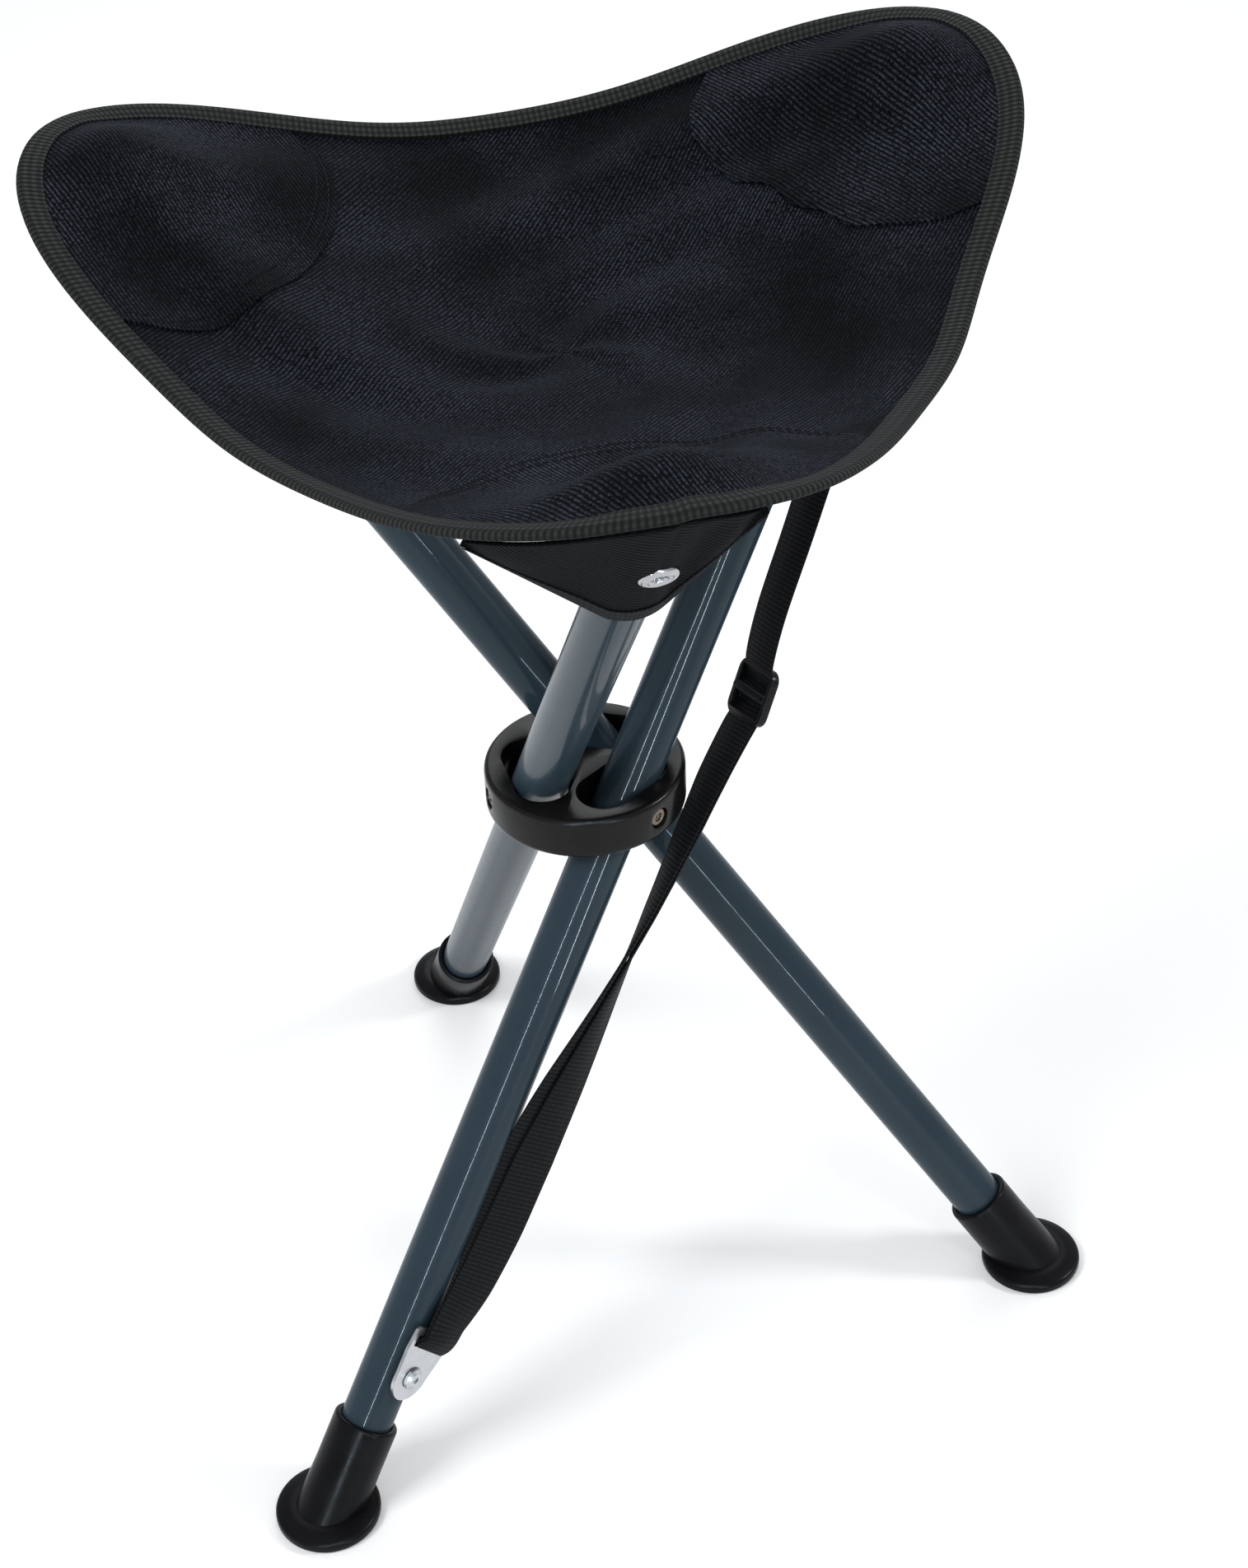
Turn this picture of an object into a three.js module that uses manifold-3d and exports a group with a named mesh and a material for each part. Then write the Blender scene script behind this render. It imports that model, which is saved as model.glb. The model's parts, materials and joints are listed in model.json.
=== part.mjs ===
// Folding three leg stool with a sling seat, a pivot hub and a shoulder strap.
// Millimetres, +Z up. The origin is the middle of the stool's footprint, on the ground.
import * as THREE from 'three';
import * as BufferGeometryUtils from 'three/addons/utils/BufferGeometryUtils.js';
import Module from 'manifold-3d';

const wasm = await Module();
wasm.setup();

// ---- driving dimensions -------------------------------------------------------------
const GAP = 0.3; // clearance between touching pieces
const RUNNING_FIT = 0.1; // clearance round a pivot pin
const LEG_TILT = THREE.MathUtils.degToRad(36.1); // lean of an open leg from the vertical
const PIVOT_OFFSET = 20.2; // hub axis to the plane that a leg swings in
const PIVOT_HEIGHT = 263.8; // pivot pins above the ground
const TUBE_RADIUS = 11;
const TUBE_WALL = 1.2;
const TUBE_TOP = 301.5; // along a leg, from its pivot
const TUBE_BOTTOM = -313.5;
const RIVET_STATION = 270; // seat rivet, along a leg
const BRACKET_STATION = -256; // strap bracket's rivet, along the right leg
const FIRST_PIVOT_AZIMUTH = 186.3; // degrees, the front leg's pin as seen from the hub axis
const CORNER_LEAD = 83.7; // degrees from a leg's pin to its seat corner
const LEG_NAMES = ['front', 'right', 'left'];

const HUB_RADIUS = 40.6;
const HUB_HEIGHT = 18.6;
const HUB_EDGE = 2.6; // rounding of the hub's rims
const SLOT_RADIUS = TUBE_RADIUS + 0.7;
const SLOT_REACH = 9.9; // a slot's end arcs, from its middle
const PIN_RADIUS = 2.5;
const PIN_HEAD_RADIUS = 4;
const PIN_HEAD_LENGTH = 2.6;
const PIN_INNER = 4.6; // a pin's inner end, from the hub axis

const FOOT_RIM = -283; // top of a foot's sleeve, along a leg
const SLEEVE_RADIUS = 13.75;
const FLANGE_RADIUS = 21.9;
const FLANGE_HEIGHT = 5.5;

const CAP_TOP = 305.5;
const CAP_PLUG = 18; // length of a cap's plug inside the tube

const CLOTH = 1.3; // thickness of the seat cloth
const SEAT_CENTRE = 458; // height of the dish's lowest point
const BINDING_WIDTH = 8;
const BINDING_HALF = 1.7;
const PATCH_RADIUS = 95;
const PATCH_CENTRE = 190; // from the hub axis
const SEAT_STEPS = 54;

const STRAP_WIDTH = 20;
const STRAP_THICK = 1.6;
const SLIDER_THICK = 2.6;
const SLIDER_PLACE = 7; // the slider's row in the strap's route

// ---- small tools ---------------------------------------------------------------------
function finish(color, roughness, metalness) {
  return new THREE.MeshStandardMaterial({ color, roughness, metalness });
}

function place(name, geometry, material) {
  const mesh = new THREE.Mesh(geometry, material);
  mesh.name = name;
  return mesh;
}

function solid(geometry) {
  const bare = geometry.index ? geometry.toNonIndexed() : geometry.clone();
  bare.deleteAttribute('normal');
  bare.deleteAttribute('uv');
  const merged = BufferGeometryUtils.mergeVertices(bare, 1e-4);
  const triVerts = [];
  const corners = merged.index.array;
  const point = (i) => new THREE.Vector3().fromBufferAttribute(merged.attributes.position, i);
  let volume = 0;
  for (let i = 0; i < corners.length; i += 3) {
    const [a, b, c] = [corners[i], corners[i + 1], corners[i + 2]];
    if (a !== b && b !== c && a !== c) triVerts.push(a, b, c);
    volume += point(a).dot(point(b).cross(point(c)));
  }
  if (volume < 0) triVerts.reverse();
  return new wasm.Manifold(new wasm.Mesh({
    numProp: 3,
    vertProperties: Float32Array.from(merged.attributes.position.array),
    triVerts: Uint32Array.from(triVerts),
  }));
}

function geometryOf(manifold) {
  const mesh = manifold.getMesh();
  const geometry = new THREE.BufferGeometry();
  geometry.setAttribute('position', new THREE.BufferAttribute(Float32Array.from(mesh.vertProperties), 3));
  geometry.setIndex([...mesh.triVerts]);
  return geometry;
}

function cut(geometry, ...tools) {
  return geometryOf(tools.reduce((body, tool) => body.subtract(solid(tool)), solid(geometry)));
}

// The directions of a leg's pin and of its seat corner, round the hub.
const pivotTurn = (k) => THREE.MathUtils.degToRad(FIRST_PIVOT_AZIMUTH + 120 * k);
const cornerTurn = (k) => pivotTurn(k) + THREE.MathUtils.degToRad(CORNER_LEAD);

// A turned piece about Z from [radius, height] pairs, given counterclockwise.
function turned(profile, segments = 32) {
  const points = profile.map(([r, z]) => new THREE.Vector2(r, z));
  return new THREE.LatheGeometry(points, segments).rotateX(Math.PI / 2);
}

// A rod from z0 to z1 about Z.
const rod = (radius, z0, z1, segments = 24) => new THREE.CylinderGeometry(radius, radius, z1 - z0, segments)
  .rotateX(Math.PI / 2).translate(0, 0, (z0 + z1) / 2);

const alongX = (geometry) => geometry.rotateY(Math.PI / 2);
const alongY = (geometry) => geometry.rotateX(-Math.PI / 2);

// Closed body between two grids of points of the same layout; rows run from first to last, columns may wrap.
function shell(top, bottom, wrap) {
  const rows = top.length;
  const columns = top[0].length;
  const positions = [...top.flat(), ...bottom.flat()].flatMap((p) => [p.x, p.y, p.z]);
  const at = (side, i, j) => side * rows * columns + i * columns + (j % columns);
  const index = [];
  const quad = (a, b, c, d) => index.push(a, b, c, a, c, d);
  const last = wrap ? columns : columns - 1;
  for (let j = 0; j < last; j += 1) {
    for (let i = 0; i < rows - 1; i += 1) {
      quad(at(0, i, j), at(0, i + 1, j), at(0, i + 1, j + 1), at(0, i, j + 1));
      quad(at(1, i, j), at(1, i, j + 1), at(1, i + 1, j + 1), at(1, i + 1, j));
    }
    quad(at(0, 0, j), at(0, 0, j + 1), at(1, 0, j + 1), at(1, 0, j));
    quad(at(0, rows - 1, j), at(1, rows - 1, j), at(1, rows - 1, j + 1), at(0, rows - 1, j + 1));
  }
  if (!wrap) {
    for (let i = 0; i < rows - 1; i += 1) {
      quad(at(0, i, 0), at(1, i, 0), at(1, i + 1, 0), at(0, i + 1, 0));
      quad(at(0, i, last), at(0, i + 1, last), at(1, i + 1, last), at(1, i, last));
    }
  }
  const geometry = new THREE.BufferGeometry();
  geometry.setAttribute('position', new THREE.Float32BufferAttribute(positions, 3));
  geometry.setIndex(index);
  return geometryOf(solid(geometry));
}

// The unit normals of a grid of points.
function gridNormals(grid) {
  return grid.map((row, i) => row.map((_, j) => {
    const across = row[Math.min(j + 1, row.length - 1)].clone().sub(row[Math.max(j - 1, 0)]);
    const down = grid[Math.min(i + 1, grid.length - 1)][j].clone().sub(grid[Math.max(i - 1, 0)][j]);
    return down.cross(across).normalize();
  }));
}

// ---- finishes ------------------------------------------------------------------------
const tubePaint = finish(0x4a5b68, 0.35, 0.6);
const hubPlastic = finish(0x2b2c2d, 0.45, 0);
const footRubber = finish(0x1b1c1e, 0.55, 0);
const capPlastic = finish(0x202122, 0.5, 0);
const steel = finish(0xb9bcbe, 0.3, 1);
const seatCloth = finish(0x1e222b, 0.9, 0);
const bindingTape = finish(0x2a2c2b, 0.9, 0);
const webbing = finish(0x141517, 0.9, 0);
const sliderPlastic = finish(0x191a1c, 0.4, 0);

// ---- hub -----------------------------------------------------------------------------
function hubGeometry() {
  const half = HUB_HEIGHT / 2;
  const arc = (centreZ, from) => [0, 1, 2, 3].map((i) => {
    const a = from + (i * Math.PI) / 6;
    return [HUB_RADIUS - HUB_EDGE + HUB_EDGE * Math.cos(a), centreZ + HUB_EDGE * Math.sin(a)];
  });
  const profile = [[0, -half], ...arc(HUB_EDGE - half, -Math.PI / 2), ...arc(half - HUB_EDGE, 0), [0, half]];
  let body = solid(turned(profile, 54));
  LEG_NAMES.forEach((_, k) => {
    const turn = pivotTurn(k);
    const slot = new THREE.Shape();
    slot.absarc(PIVOT_OFFSET, SLOT_REACH, SLOT_RADIUS, 0, Math.PI);
    slot.absarc(PIVOT_OFFSET, -SLOT_REACH, SLOT_RADIUS, Math.PI, 2 * Math.PI);
    const cutDepth = { depth: HUB_HEIGHT + 4, bevelEnabled: false, curveSegments: 10 };
    const through = new THREE.ExtrudeGeometry(slot, cutDepth);
    const bore = alongX(rod(PIN_RADIUS + GAP, PIN_INNER - GAP, HUB_RADIUS + 1));
    const recess = alongX(rod(PIN_HEAD_RADIUS + GAP, HUB_RADIUS - PIN_HEAD_LENGTH - 1, HUB_RADIUS + 1));
    for (const tool of [through.translate(0, 0, -half - 2), bore, recess]) {
      body = body.subtract(solid(tool.rotateZ(turn)));
    }
  });
  return geometryOf(body).translate(0, 0, PIVOT_HEIGHT);
}

function pinGeometry() {
  const seat = HUB_RADIUS - PIN_HEAD_LENGTH - 0.7;
  const profile = [
    [0, PIN_INNER], [PIN_RADIUS, PIN_INNER], [PIN_RADIUS, seat], [PIN_HEAD_RADIUS, seat],
    [PIN_HEAD_RADIUS, seat + 1.8], [PIN_HEAD_RADIUS - 1, seat + PIN_HEAD_LENGTH],
    [0, seat + PIN_HEAD_LENGTH],
  ];
  return alongX(turned(profile, 16));
}

// ---- legs, in a frame with Z along the leg, X along its pin and Y to its outer side ----
function tubeGeometry(withBracket) {
  const inner = TUBE_RADIUS - TUBE_WALL;
  const ring = [
    [inner, TUBE_BOTTOM], [TUBE_RADIUS, TUBE_BOTTOM], [TUBE_RADIUS, TUBE_TOP], [inner, TUBE_TOP],
    [inner, TUBE_BOTTOM],
  ];
  const tools = [
    alongX(rod(PIN_RADIUS + RUNNING_FIT, -TUBE_RADIUS - 1, TUBE_RADIUS + 1)),
    alongY(rod(2.3, 0, TUBE_RADIUS + 1, 16)).translate(0, 0, RIVET_STATION),
  ];
  if (withBracket) tools.push(alongX(rod(2.3, 0, TUBE_RADIUS + 1, 16)).translate(0, 0, BRACKET_STATION));
  return cut(turned(ring, 32), ...tools);
}

function capGeometry() {
  const plug = TUBE_RADIUS - TUBE_WALL - GAP;
  const under = TUBE_TOP + GAP;
  return turned([
    [0, TUBE_TOP - CAP_PLUG], [plug - 1, TUBE_TOP - CAP_PLUG],
    [plug, TUBE_TOP - CAP_PLUG + 2], [plug, under],
    [TUBE_RADIUS, under], [TUBE_RADIUS, CAP_TOP - 2], [TUBE_RADIUS - 2, CAP_TOP], [0, CAP_TOP],
  ], 24);
}

// A rubber foot: a sleeve along the leg that widens into a round flange flat on the ground.
function footGeometry() {
  const drop = PIVOT_HEIGHT / Math.cos(LEG_TILT);
  const sleeve = turned([
    [0, -drop - 20], [SLEEVE_RADIUS, -drop - 20], [SLEEVE_RADIUS, FOOT_RIM - 1],
    [SLEEVE_RADIUS - 1, FOOT_RIM], [0, FOOT_RIM],
  ], 28);
  const socket = rod(TUBE_RADIUS + GAP, TUBE_BOTTOM - GAP, FOOT_RIM + 1, 28);
  const flange = turned([
    [0, 0], [FLANGE_RADIUS - 1.5, 0], [FLANGE_RADIUS, 1.5], [FLANGE_RADIUS, FLANGE_HEIGHT - 1.8],
    [FLANGE_RADIUS - 1.8, FLANGE_HEIGHT], [0, FLANGE_HEIGHT],
  ], 36);
  const ground = new THREE.BoxGeometry(400, 400, 100).translate(0, -190, -50);
  const level = (g) => g.translate(0, 0, -PIVOT_HEIGHT).rotateX(LEG_TILT);
  const shape = solid(sleeve).subtract(solid(level(ground)))
    .add(solid(level(flange.translate(0, -PIVOT_HEIGHT * Math.tan(LEG_TILT), 0))))
    .subtract(solid(socket));
  return geometryOf(shape);
}

// A domed rivet about Y; seat is the face that its head rests on.
function rivetGeometry(seat, shankLength, headRadius, headHeight) {
  return alongY(turned([
    [0, seat - shankLength], [2, seat - shankLength], [2, seat], [headRadius, seat],
    [headRadius * 0.92, seat + headHeight * 0.5], [headRadius * 0.6, seat + headHeight],
    [headRadius * 0.28, seat + headHeight], [headRadius * 0.25, seat + headHeight * 0.4],
    [0, seat + headHeight * 0.4],
  ], 16));
}

// ---- seat ----------------------------------------------------------------------------
// The seat's edge and surface are functions of the angle from the nearest corner.
const edgeRadius = (a) => 170.6 + 30.1 * Math.cos(3 * a) + 4.9 * Math.cos(6 * a);
const edgeHeight = (a) => 495.8 + 17.2 * Math.cos(3 * a) + 2.4 * Math.cos(6 * a);

function fromCorner(azimuth) {
  const third = (2 * Math.PI) / 3;
  const a = (((azimuth - cornerTurn(0)) % third) + third) % third;
  return a > third / 2 ? a - third : a;
}

// Top face of the seat cloth, dished between its edges and lifted where it lies over the leg caps.
function seatPoint(azimuth, radius, lift = 0) {
  const a = fromCorner(azimuth);
  const share = radius / edgeRadius(a);
  const dish = SEAT_CENTRE + (edgeHeight(a) - SEAT_CENTRE) * share ** 1.6;
  const side = (radius * Math.sin(a)) / 34;
  const reach = share < 0.85 ? 0.15 : 0.09;
  const crown = 17.5 * Math.exp(-(((share - 0.85) / reach) ** 2) - side ** 2);
  return new THREE.Vector3(radius * Math.cos(azimuth), radius * Math.sin(azimuth), dish + crown + lift);
}

function seatGrid(lift) {
  const shares = [0.2, 0.4, 0.57, 0.68, 0.76, 0.82, 0.87, 0.91, 0.955, 1];
  return shares.map((share) => Array.from({ length: SEAT_STEPS }, (_, j) => {
    const azimuth = cornerTurn(0) + (2 * Math.PI * j) / SEAT_STEPS;
    const limit = edgeRadius(fromCorner(azimuth)) - BINDING_WIDTH;
    return seatPoint(azimuth, share * limit, lift);
  }));
}

// The cloth between two lifts of the seat's top face, closed in the middle.
function seatLayer(low, high) {
  const grids = [seatGrid(high), seatGrid(low)];
  const positions = [];
  const index = [];
  const rings = grids[0].length;
  const offset = rings * SEAT_STEPS + 1;
  grids.forEach((grid, side) => {
    grid.flat().forEach((p) => positions.push(p.x, p.y, p.z));
    positions.push(0, 0, SEAT_CENTRE + (side ? low : high));
  });
  const face = (side, a, b, c) => {
    index.push(side * offset + a, side * offset + (side ? c : b), side * offset + (side ? b : c));
  };
  for (let j = 0; j < SEAT_STEPS; j += 1) {
    const next = (j + 1) % SEAT_STEPS;
    for (const side of [0, 1]) {
      face(side, rings * SEAT_STEPS, j, next);
      for (let i = 0; i < rings - 1; i += 1) {
        const [a, d] = [i * SEAT_STEPS + j, i * SEAT_STEPS + next];
        const [b, c] = [a + SEAT_STEPS, d + SEAT_STEPS];
        face(side, a, b, c);
        face(side, a, c, d);
      }
    }
    const rim = (rings - 1) * SEAT_STEPS;
    index.push(rim + j, offset + rim + j, offset + rim + next, rim + j, offset + rim + next, rim + next);
  }
  const geometry = new THREE.BufferGeometry();
  geometry.setAttribute('position', new THREE.Float32BufferAttribute(positions, 3));
  geometry.setIndex(index);
  return geometry;
}

function patchGeometry(k) {
  const disc = rod(PATCH_RADIUS, 380, 620, 64)
    .translate(PATCH_CENTRE * Math.cos(cornerTurn(k)), PATCH_CENTRE * Math.sin(cornerTurn(k)), 0);
  return geometryOf(solid(seatLayer(GAP, GAP + 0.9)).intersect(solid(disc)));
}

// The tape folded over the seat's edge: a loop with a section of five corners.
function bindingGeometry() {
  const inner = GAP - BINDING_WIDTH;
  const section = [
    [inner, BINDING_HALF], [inner, -BINDING_HALF], [-1.5, -BINDING_HALF], [0, 0], [-1.5, BINDING_HALF],
  ];
  const loops = section.map(([inset, rise]) => Array.from({ length: SEAT_STEPS }, (_, j) => {
    const azimuth = cornerTurn(0) + (2 * Math.PI * j) / SEAT_STEPS;
    return seatPoint(azimuth, edgeRadius(fromCorner(azimuth)) + inset, rise - CLOTH / 2);
  }));
  const positions = loops.flat().flatMap((p) => [p.x, p.y, p.z]);
  const index = [];
  for (let s = 0; s < section.length; s += 1) {
    for (let j = 0; j < SEAT_STEPS; j += 1) {
      const [t, n] = [(s + 1) % section.length, (j + 1) % SEAT_STEPS];
      const [a, b, c, d] = [s * SEAT_STEPS + j, t * SEAT_STEPS + j, t * SEAT_STEPS + n, s * SEAT_STEPS + n];
      index.push(a, c, b, a, d, c);
    }
  }
  const geometry = new THREE.BufferGeometry();
  geometry.setAttribute('position', new THREE.Float32BufferAttribute(positions, 3));
  geometry.setIndex(index);
  return geometryOf(solid(geometry));
}

// The pocket under a corner: sewn to the seat's edge on both sides, its lower hem wrapped round the leg.
function pocketGeometry(k) {
  const toLeg = new THREE.Matrix4().makeRotationZ(pivotTurn(k))
    .multiply(new THREE.Matrix4().makeTranslation(PIVOT_OFFSET, 0, PIVOT_HEIGHT))
    .multiply(new THREE.Matrix4().makeRotationX(-LEG_TILT)).invert();
  const [before, after] = [21, 9.8].map(THREE.MathUtils.degToRad);
  const hemRadius = TUBE_RADIUS + 0.9;
  const hemStation = 229;
  const upper = (p) => {
    const azimuth = cornerTurn(k) + p * (p > 0 ? after : before);
    return seatPoint(azimuth, edgeRadius(fromCorner(azimuth)) - 4.5, -5.4).applyMatrix4(toLeg);
  };
  const flat = 0.26;
  const lower = (p) => {
    const share = Math.min(1, Math.abs(p) / flat);
    const side = Math.sign(p);
    const hem = new THREE.Vector3(-side * share * 10, hemRadius + 0.6 - 2.6 * share * share, hemStation);
    if (share < 1) return hem;
    return hem.lerp(upper(side).add(new THREE.Vector3(0, 2, -3)), (Math.abs(p) - flat) / (1 - flat));
  };
  const columns = 21;
  const rows = 5;
  const inner = Array.from({ length: rows }, (_, i) => Array.from({ length: columns }, (__, j) => {
    const p = (2 * j) / (columns - 1) - 1;
    return upper(p).lerp(lower(p), i / (rows - 1));
  }));
  const normals = gridNormals(inner);
  const outer = inner.map((row, i) => row.map((q, j) => q.clone().addScaledVector(normals[i][j], CLOTH)));
  const hole = alongY(rod(2.3, 5, 30, 16)).translate(0, 0, RIVET_STATION);
  return cut(shell(outer, inner, false), hole);
}

// ---- strap, in the right leg's frame ---------------------------------------------------
// Places along the strap from the pocket to the bracket: across, out and along the leg,
// then the turn of its face in degrees.
const strapRoute = [
  [12, 16.2, 243, -14], [12.2, 16.4, 220, -15], [13, 16.8, 190, -16], [14, 18.8, 155, -17],
  [15, 21.8, 122, -18], [15.4, 24.9, 92, -19], [15.6, 30, 70, -20], [15.7, 34, 57, -20],
  [15.8, 33.2, 42, -22], [15.8, 30, 18, -26], [15.9, 28.2, -8, -34], [15.9, 25.6, -42, -48],
  [15.9, 22, -80, -68], [15.9, 18.9, -118, -90], [15.8, 16.2, -154, -108], [15.6, 14.6, -186, -112],
  [15.2, 11.4, -212, -108], [15, 6.5, -230, -95], [15.2, 5, -238, -90],
];

// The ribbon's middle and its face and edge directions at a share of the route.
function strapFrame(share, offset) {
  const spots = strapRoute.map(([x, y, z]) => new THREE.Vector3(x, y, z));
  const middle = new THREE.CatmullRomCurve3(spots, false, 'centripetal');
  const at = share * (strapRoute.length - 1);
  const low = Math.min(Math.floor(at), strapRoute.length - 2);
  const turn = THREE.MathUtils.lerp(strapRoute[low][3], strapRoute[low + 1][3], at - low);
  const angle = THREE.MathUtils.degToRad(turn);
  const tangent = middle.getTangent(share);
  const flat = new THREE.Vector3(1, 0, 0).addScaledVector(tangent, -tangent.x).normalize();
  const face = flat.clone().cross(tangent).normalize();
  const edge = flat.clone().multiplyScalar(Math.cos(angle)).addScaledVector(face, Math.sin(angle));
  const normal = edge.clone().cross(tangent).normalize();
  return { point: middle.getPoint(share).addScaledVector(normal, offset), edge, normal };
}

function ribbonGeometry(from, to, offset, steps) {
  const rows = Array.from({ length: steps + 1 }, (_, i) => {
    return strapFrame(THREE.MathUtils.lerp(from, to, i / steps), offset);
  });
  const side = (height) => rows.map(({ point, edge, normal }) => [-1, 1].map((s) => point.clone()
    .addScaledVector(edge, (s * STRAP_WIDTH) / 2).addScaledVector(normal, height)));
  return shell(side(-STRAP_THICK / 2), side(STRAP_THICK / 2), false);
}

function sliderGeometry() {
  const share = SLIDER_PLACE / (strapRoute.length - 1);
  const { point, edge, normal } = strapFrame(share, 0);
  const outline = new THREE.Shape();
  const [halfWide, halfLong, corner] = [15, 12.5, 4];
  outline.moveTo(-halfWide + corner, -halfLong);
  outline.lineTo(halfWide - corner, -halfLong);
  outline.absarc(halfWide - corner, corner - halfLong, corner, -Math.PI / 2, 0);
  outline.absarc(halfWide - corner, halfLong - corner, corner, 0, Math.PI / 2);
  outline.absarc(corner - halfWide, halfLong - corner, corner, Math.PI / 2, Math.PI);
  outline.absarc(corner - halfWide, corner - halfLong, corner, Math.PI, 1.5 * Math.PI);
  const window = (low, high) => {
    const hole = new THREE.Path();
    hole.moveTo(-11, low);
    hole.lineTo(11, low);
    hole.lineTo(11, high);
    hole.lineTo(-11, high);
    hole.closePath();
    return hole;
  };
  outline.holes.push(window(-9.8, -2), window(2, 9.8));
  const sheet = { depth: SLIDER_THICK, bevelEnabled: false, curveSegments: 4 };
  const frame = new THREE.ExtrudeGeometry(outline, sheet);
  const along = normal.clone().cross(edge);
  const basis = new THREE.Matrix4().makeBasis(edge, along, normal).setPosition(point);
  return frame.translate(0, 0, STRAP_THICK / 2 + GAP).applyMatrix4(basis);
}

// The bracket: a plate against the leg's side that swivels on a rivet and holds the strap's end in a slot.
const PLATE_THICK = 1.5;
const PLATE_REACH = 20; // rivet to the middle of the top bar
const BRACKET_LEAN = THREE.MathUtils.degToRad(-12);
function bracketGeometry() {
  const plate = new THREE.Shape();
  const [low, high, top] = [10.5, 13, PLATE_REACH + 2];
  plate.absarc(0, 0, low, Math.PI, 2 * Math.PI);
  plate.lineTo(high, 12);
  plate.lineTo(high, top - 1.5);
  plate.lineTo(high - 1.5, top);
  plate.lineTo(1.5 - high, top);
  plate.lineTo(-high, top - 1.5);
  plate.lineTo(-high, 12);
  const slot = new THREE.Path();
  slot.moveTo(-10.6, PLATE_REACH - 6.5);
  slot.lineTo(10.6, PLATE_REACH - 6.5);
  slot.lineTo(10.6, PLATE_REACH - 1.5);
  slot.lineTo(-10.6, PLATE_REACH - 1.5);
  slot.closePath();
  const hole = new THREE.Path();
  hole.absarc(0, 0, 2.3, 0, 2 * Math.PI);
  plate.holes.push(slot, hole);
  const sheet = { depth: PLATE_THICK, bevelEnabled: false, curveSegments: 12 };
  const flat = new THREE.ExtrudeGeometry(plate, sheet);
  // the plate's width runs along Y, its length along Z and its thickness along X
  return flat.rotateX(Math.PI / 2).rotateZ(Math.PI / 2).rotateX(BRACKET_LEAN)
    .translate(TUBE_RADIUS + GAP, 0, BRACKET_STATION);
}

// ---- assembly ------------------------------------------------------------------------
const stool = new THREE.Group();
const onGround = new THREE.Group();
stool.add(onGround);
onGround.add(place('hub', hubGeometry(), hubPlastic));
onGround.add(place('seat_panel', geometryOf(solid(seatLayer(-CLOTH, 0))), seatCloth));
onGround.add(place('edge_binding', bindingGeometry(), bindingTape));

LEG_NAMES.forEach((name, k) => {
  onGround.add(place(`corner_patch_${name}`, patchGeometry(k), seatCloth));
  const pivot = new THREE.Group();
  pivot.rotation.z = pivotTurn(k);
  pivot.position.z = PIVOT_HEIGHT;
  onGround.add(pivot);
  pivot.add(place(`pivot_pin_${name}`, pinGeometry(), steel));
  const leg = new THREE.Group();
  leg.position.x = PIVOT_OFFSET;
  leg.rotation.x = -LEG_TILT;
  pivot.add(leg);
  leg.add(place(`leg_tube_${name}`, tubeGeometry(name === 'right'), tubePaint));
  leg.add(place(`leg_cap_${name}`, capGeometry(), capPlastic));
  leg.add(place(`foot_${name}`, footGeometry(), footRubber));
  leg.add(place(`corner_pocket_${name}`, pocketGeometry(k), seatCloth));
  const rivet = rivetGeometry(TUBE_RADIUS + 5.2, 8.4, 7, 2.4);
  leg.add(place(`corner_rivet_${name}`, rivet.translate(0, 0, RIVET_STATION), steel));
  if (name === 'right') {
    const last = strapRoute.length - 1;
    leg.add(place('strap_bracket', bracketGeometry(), steel));
    const rivetHead = rivetGeometry(TUBE_RADIUS + 2 * GAP + PLATE_THICK, 6, 5, 2.2).rotateZ(-Math.PI / 2);
    leg.add(place('bracket_rivet', rivetHead.translate(0, 0, BRACKET_STATION), steel));
    leg.add(place('strap_upper', ribbonGeometry(0, 1, 0, 40), webbing));
    leg.add(place('strap_lower', ribbonGeometry(8.2 / last, 1, STRAP_THICK + 0.9, 26), webbing));
    leg.add(place('strap_slider', sliderGeometry(), sliderPlastic));
  }
});

// The origin moves to the middle of the stool's box, without its loose strap.
stool.updateMatrixWorld(true);
const box = new THREE.Box3();
onGround.traverse((piece) => {
  if (piece.isMesh && !/^strap_(upper|lower|slider)$/.test(piece.name)) box.expandByObject(piece, true);
});
onGround.position.set(-(box.min.x + box.max.x) / 2, -(box.min.y + box.max.y) / 2, -box.min.z);

export default stool;
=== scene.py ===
"""Folding three leg stool: looks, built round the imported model."""
import json
import logging
import math
from collections.abc import Callable, Sequence
from dataclasses import dataclass
from enum import Enum

import bpy
from mathutils import Matrix, Vector


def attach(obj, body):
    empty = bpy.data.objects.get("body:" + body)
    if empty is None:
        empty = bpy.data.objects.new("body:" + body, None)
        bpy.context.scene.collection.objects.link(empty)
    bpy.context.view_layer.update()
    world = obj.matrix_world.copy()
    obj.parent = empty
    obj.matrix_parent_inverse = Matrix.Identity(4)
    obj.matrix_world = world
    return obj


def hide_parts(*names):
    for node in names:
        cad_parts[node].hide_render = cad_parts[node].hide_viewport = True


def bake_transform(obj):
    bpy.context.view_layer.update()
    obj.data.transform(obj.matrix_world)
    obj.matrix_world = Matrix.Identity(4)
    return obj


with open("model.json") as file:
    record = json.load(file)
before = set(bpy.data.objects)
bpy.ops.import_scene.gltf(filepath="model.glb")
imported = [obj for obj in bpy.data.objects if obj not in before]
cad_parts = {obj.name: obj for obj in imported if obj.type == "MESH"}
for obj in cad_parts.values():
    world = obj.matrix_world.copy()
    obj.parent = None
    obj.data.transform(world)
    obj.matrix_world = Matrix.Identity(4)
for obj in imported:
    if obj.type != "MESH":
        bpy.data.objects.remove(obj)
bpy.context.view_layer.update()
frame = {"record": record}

LOG = logging.getLogger("stool")
UP = Vector((0, 0, 1))
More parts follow.
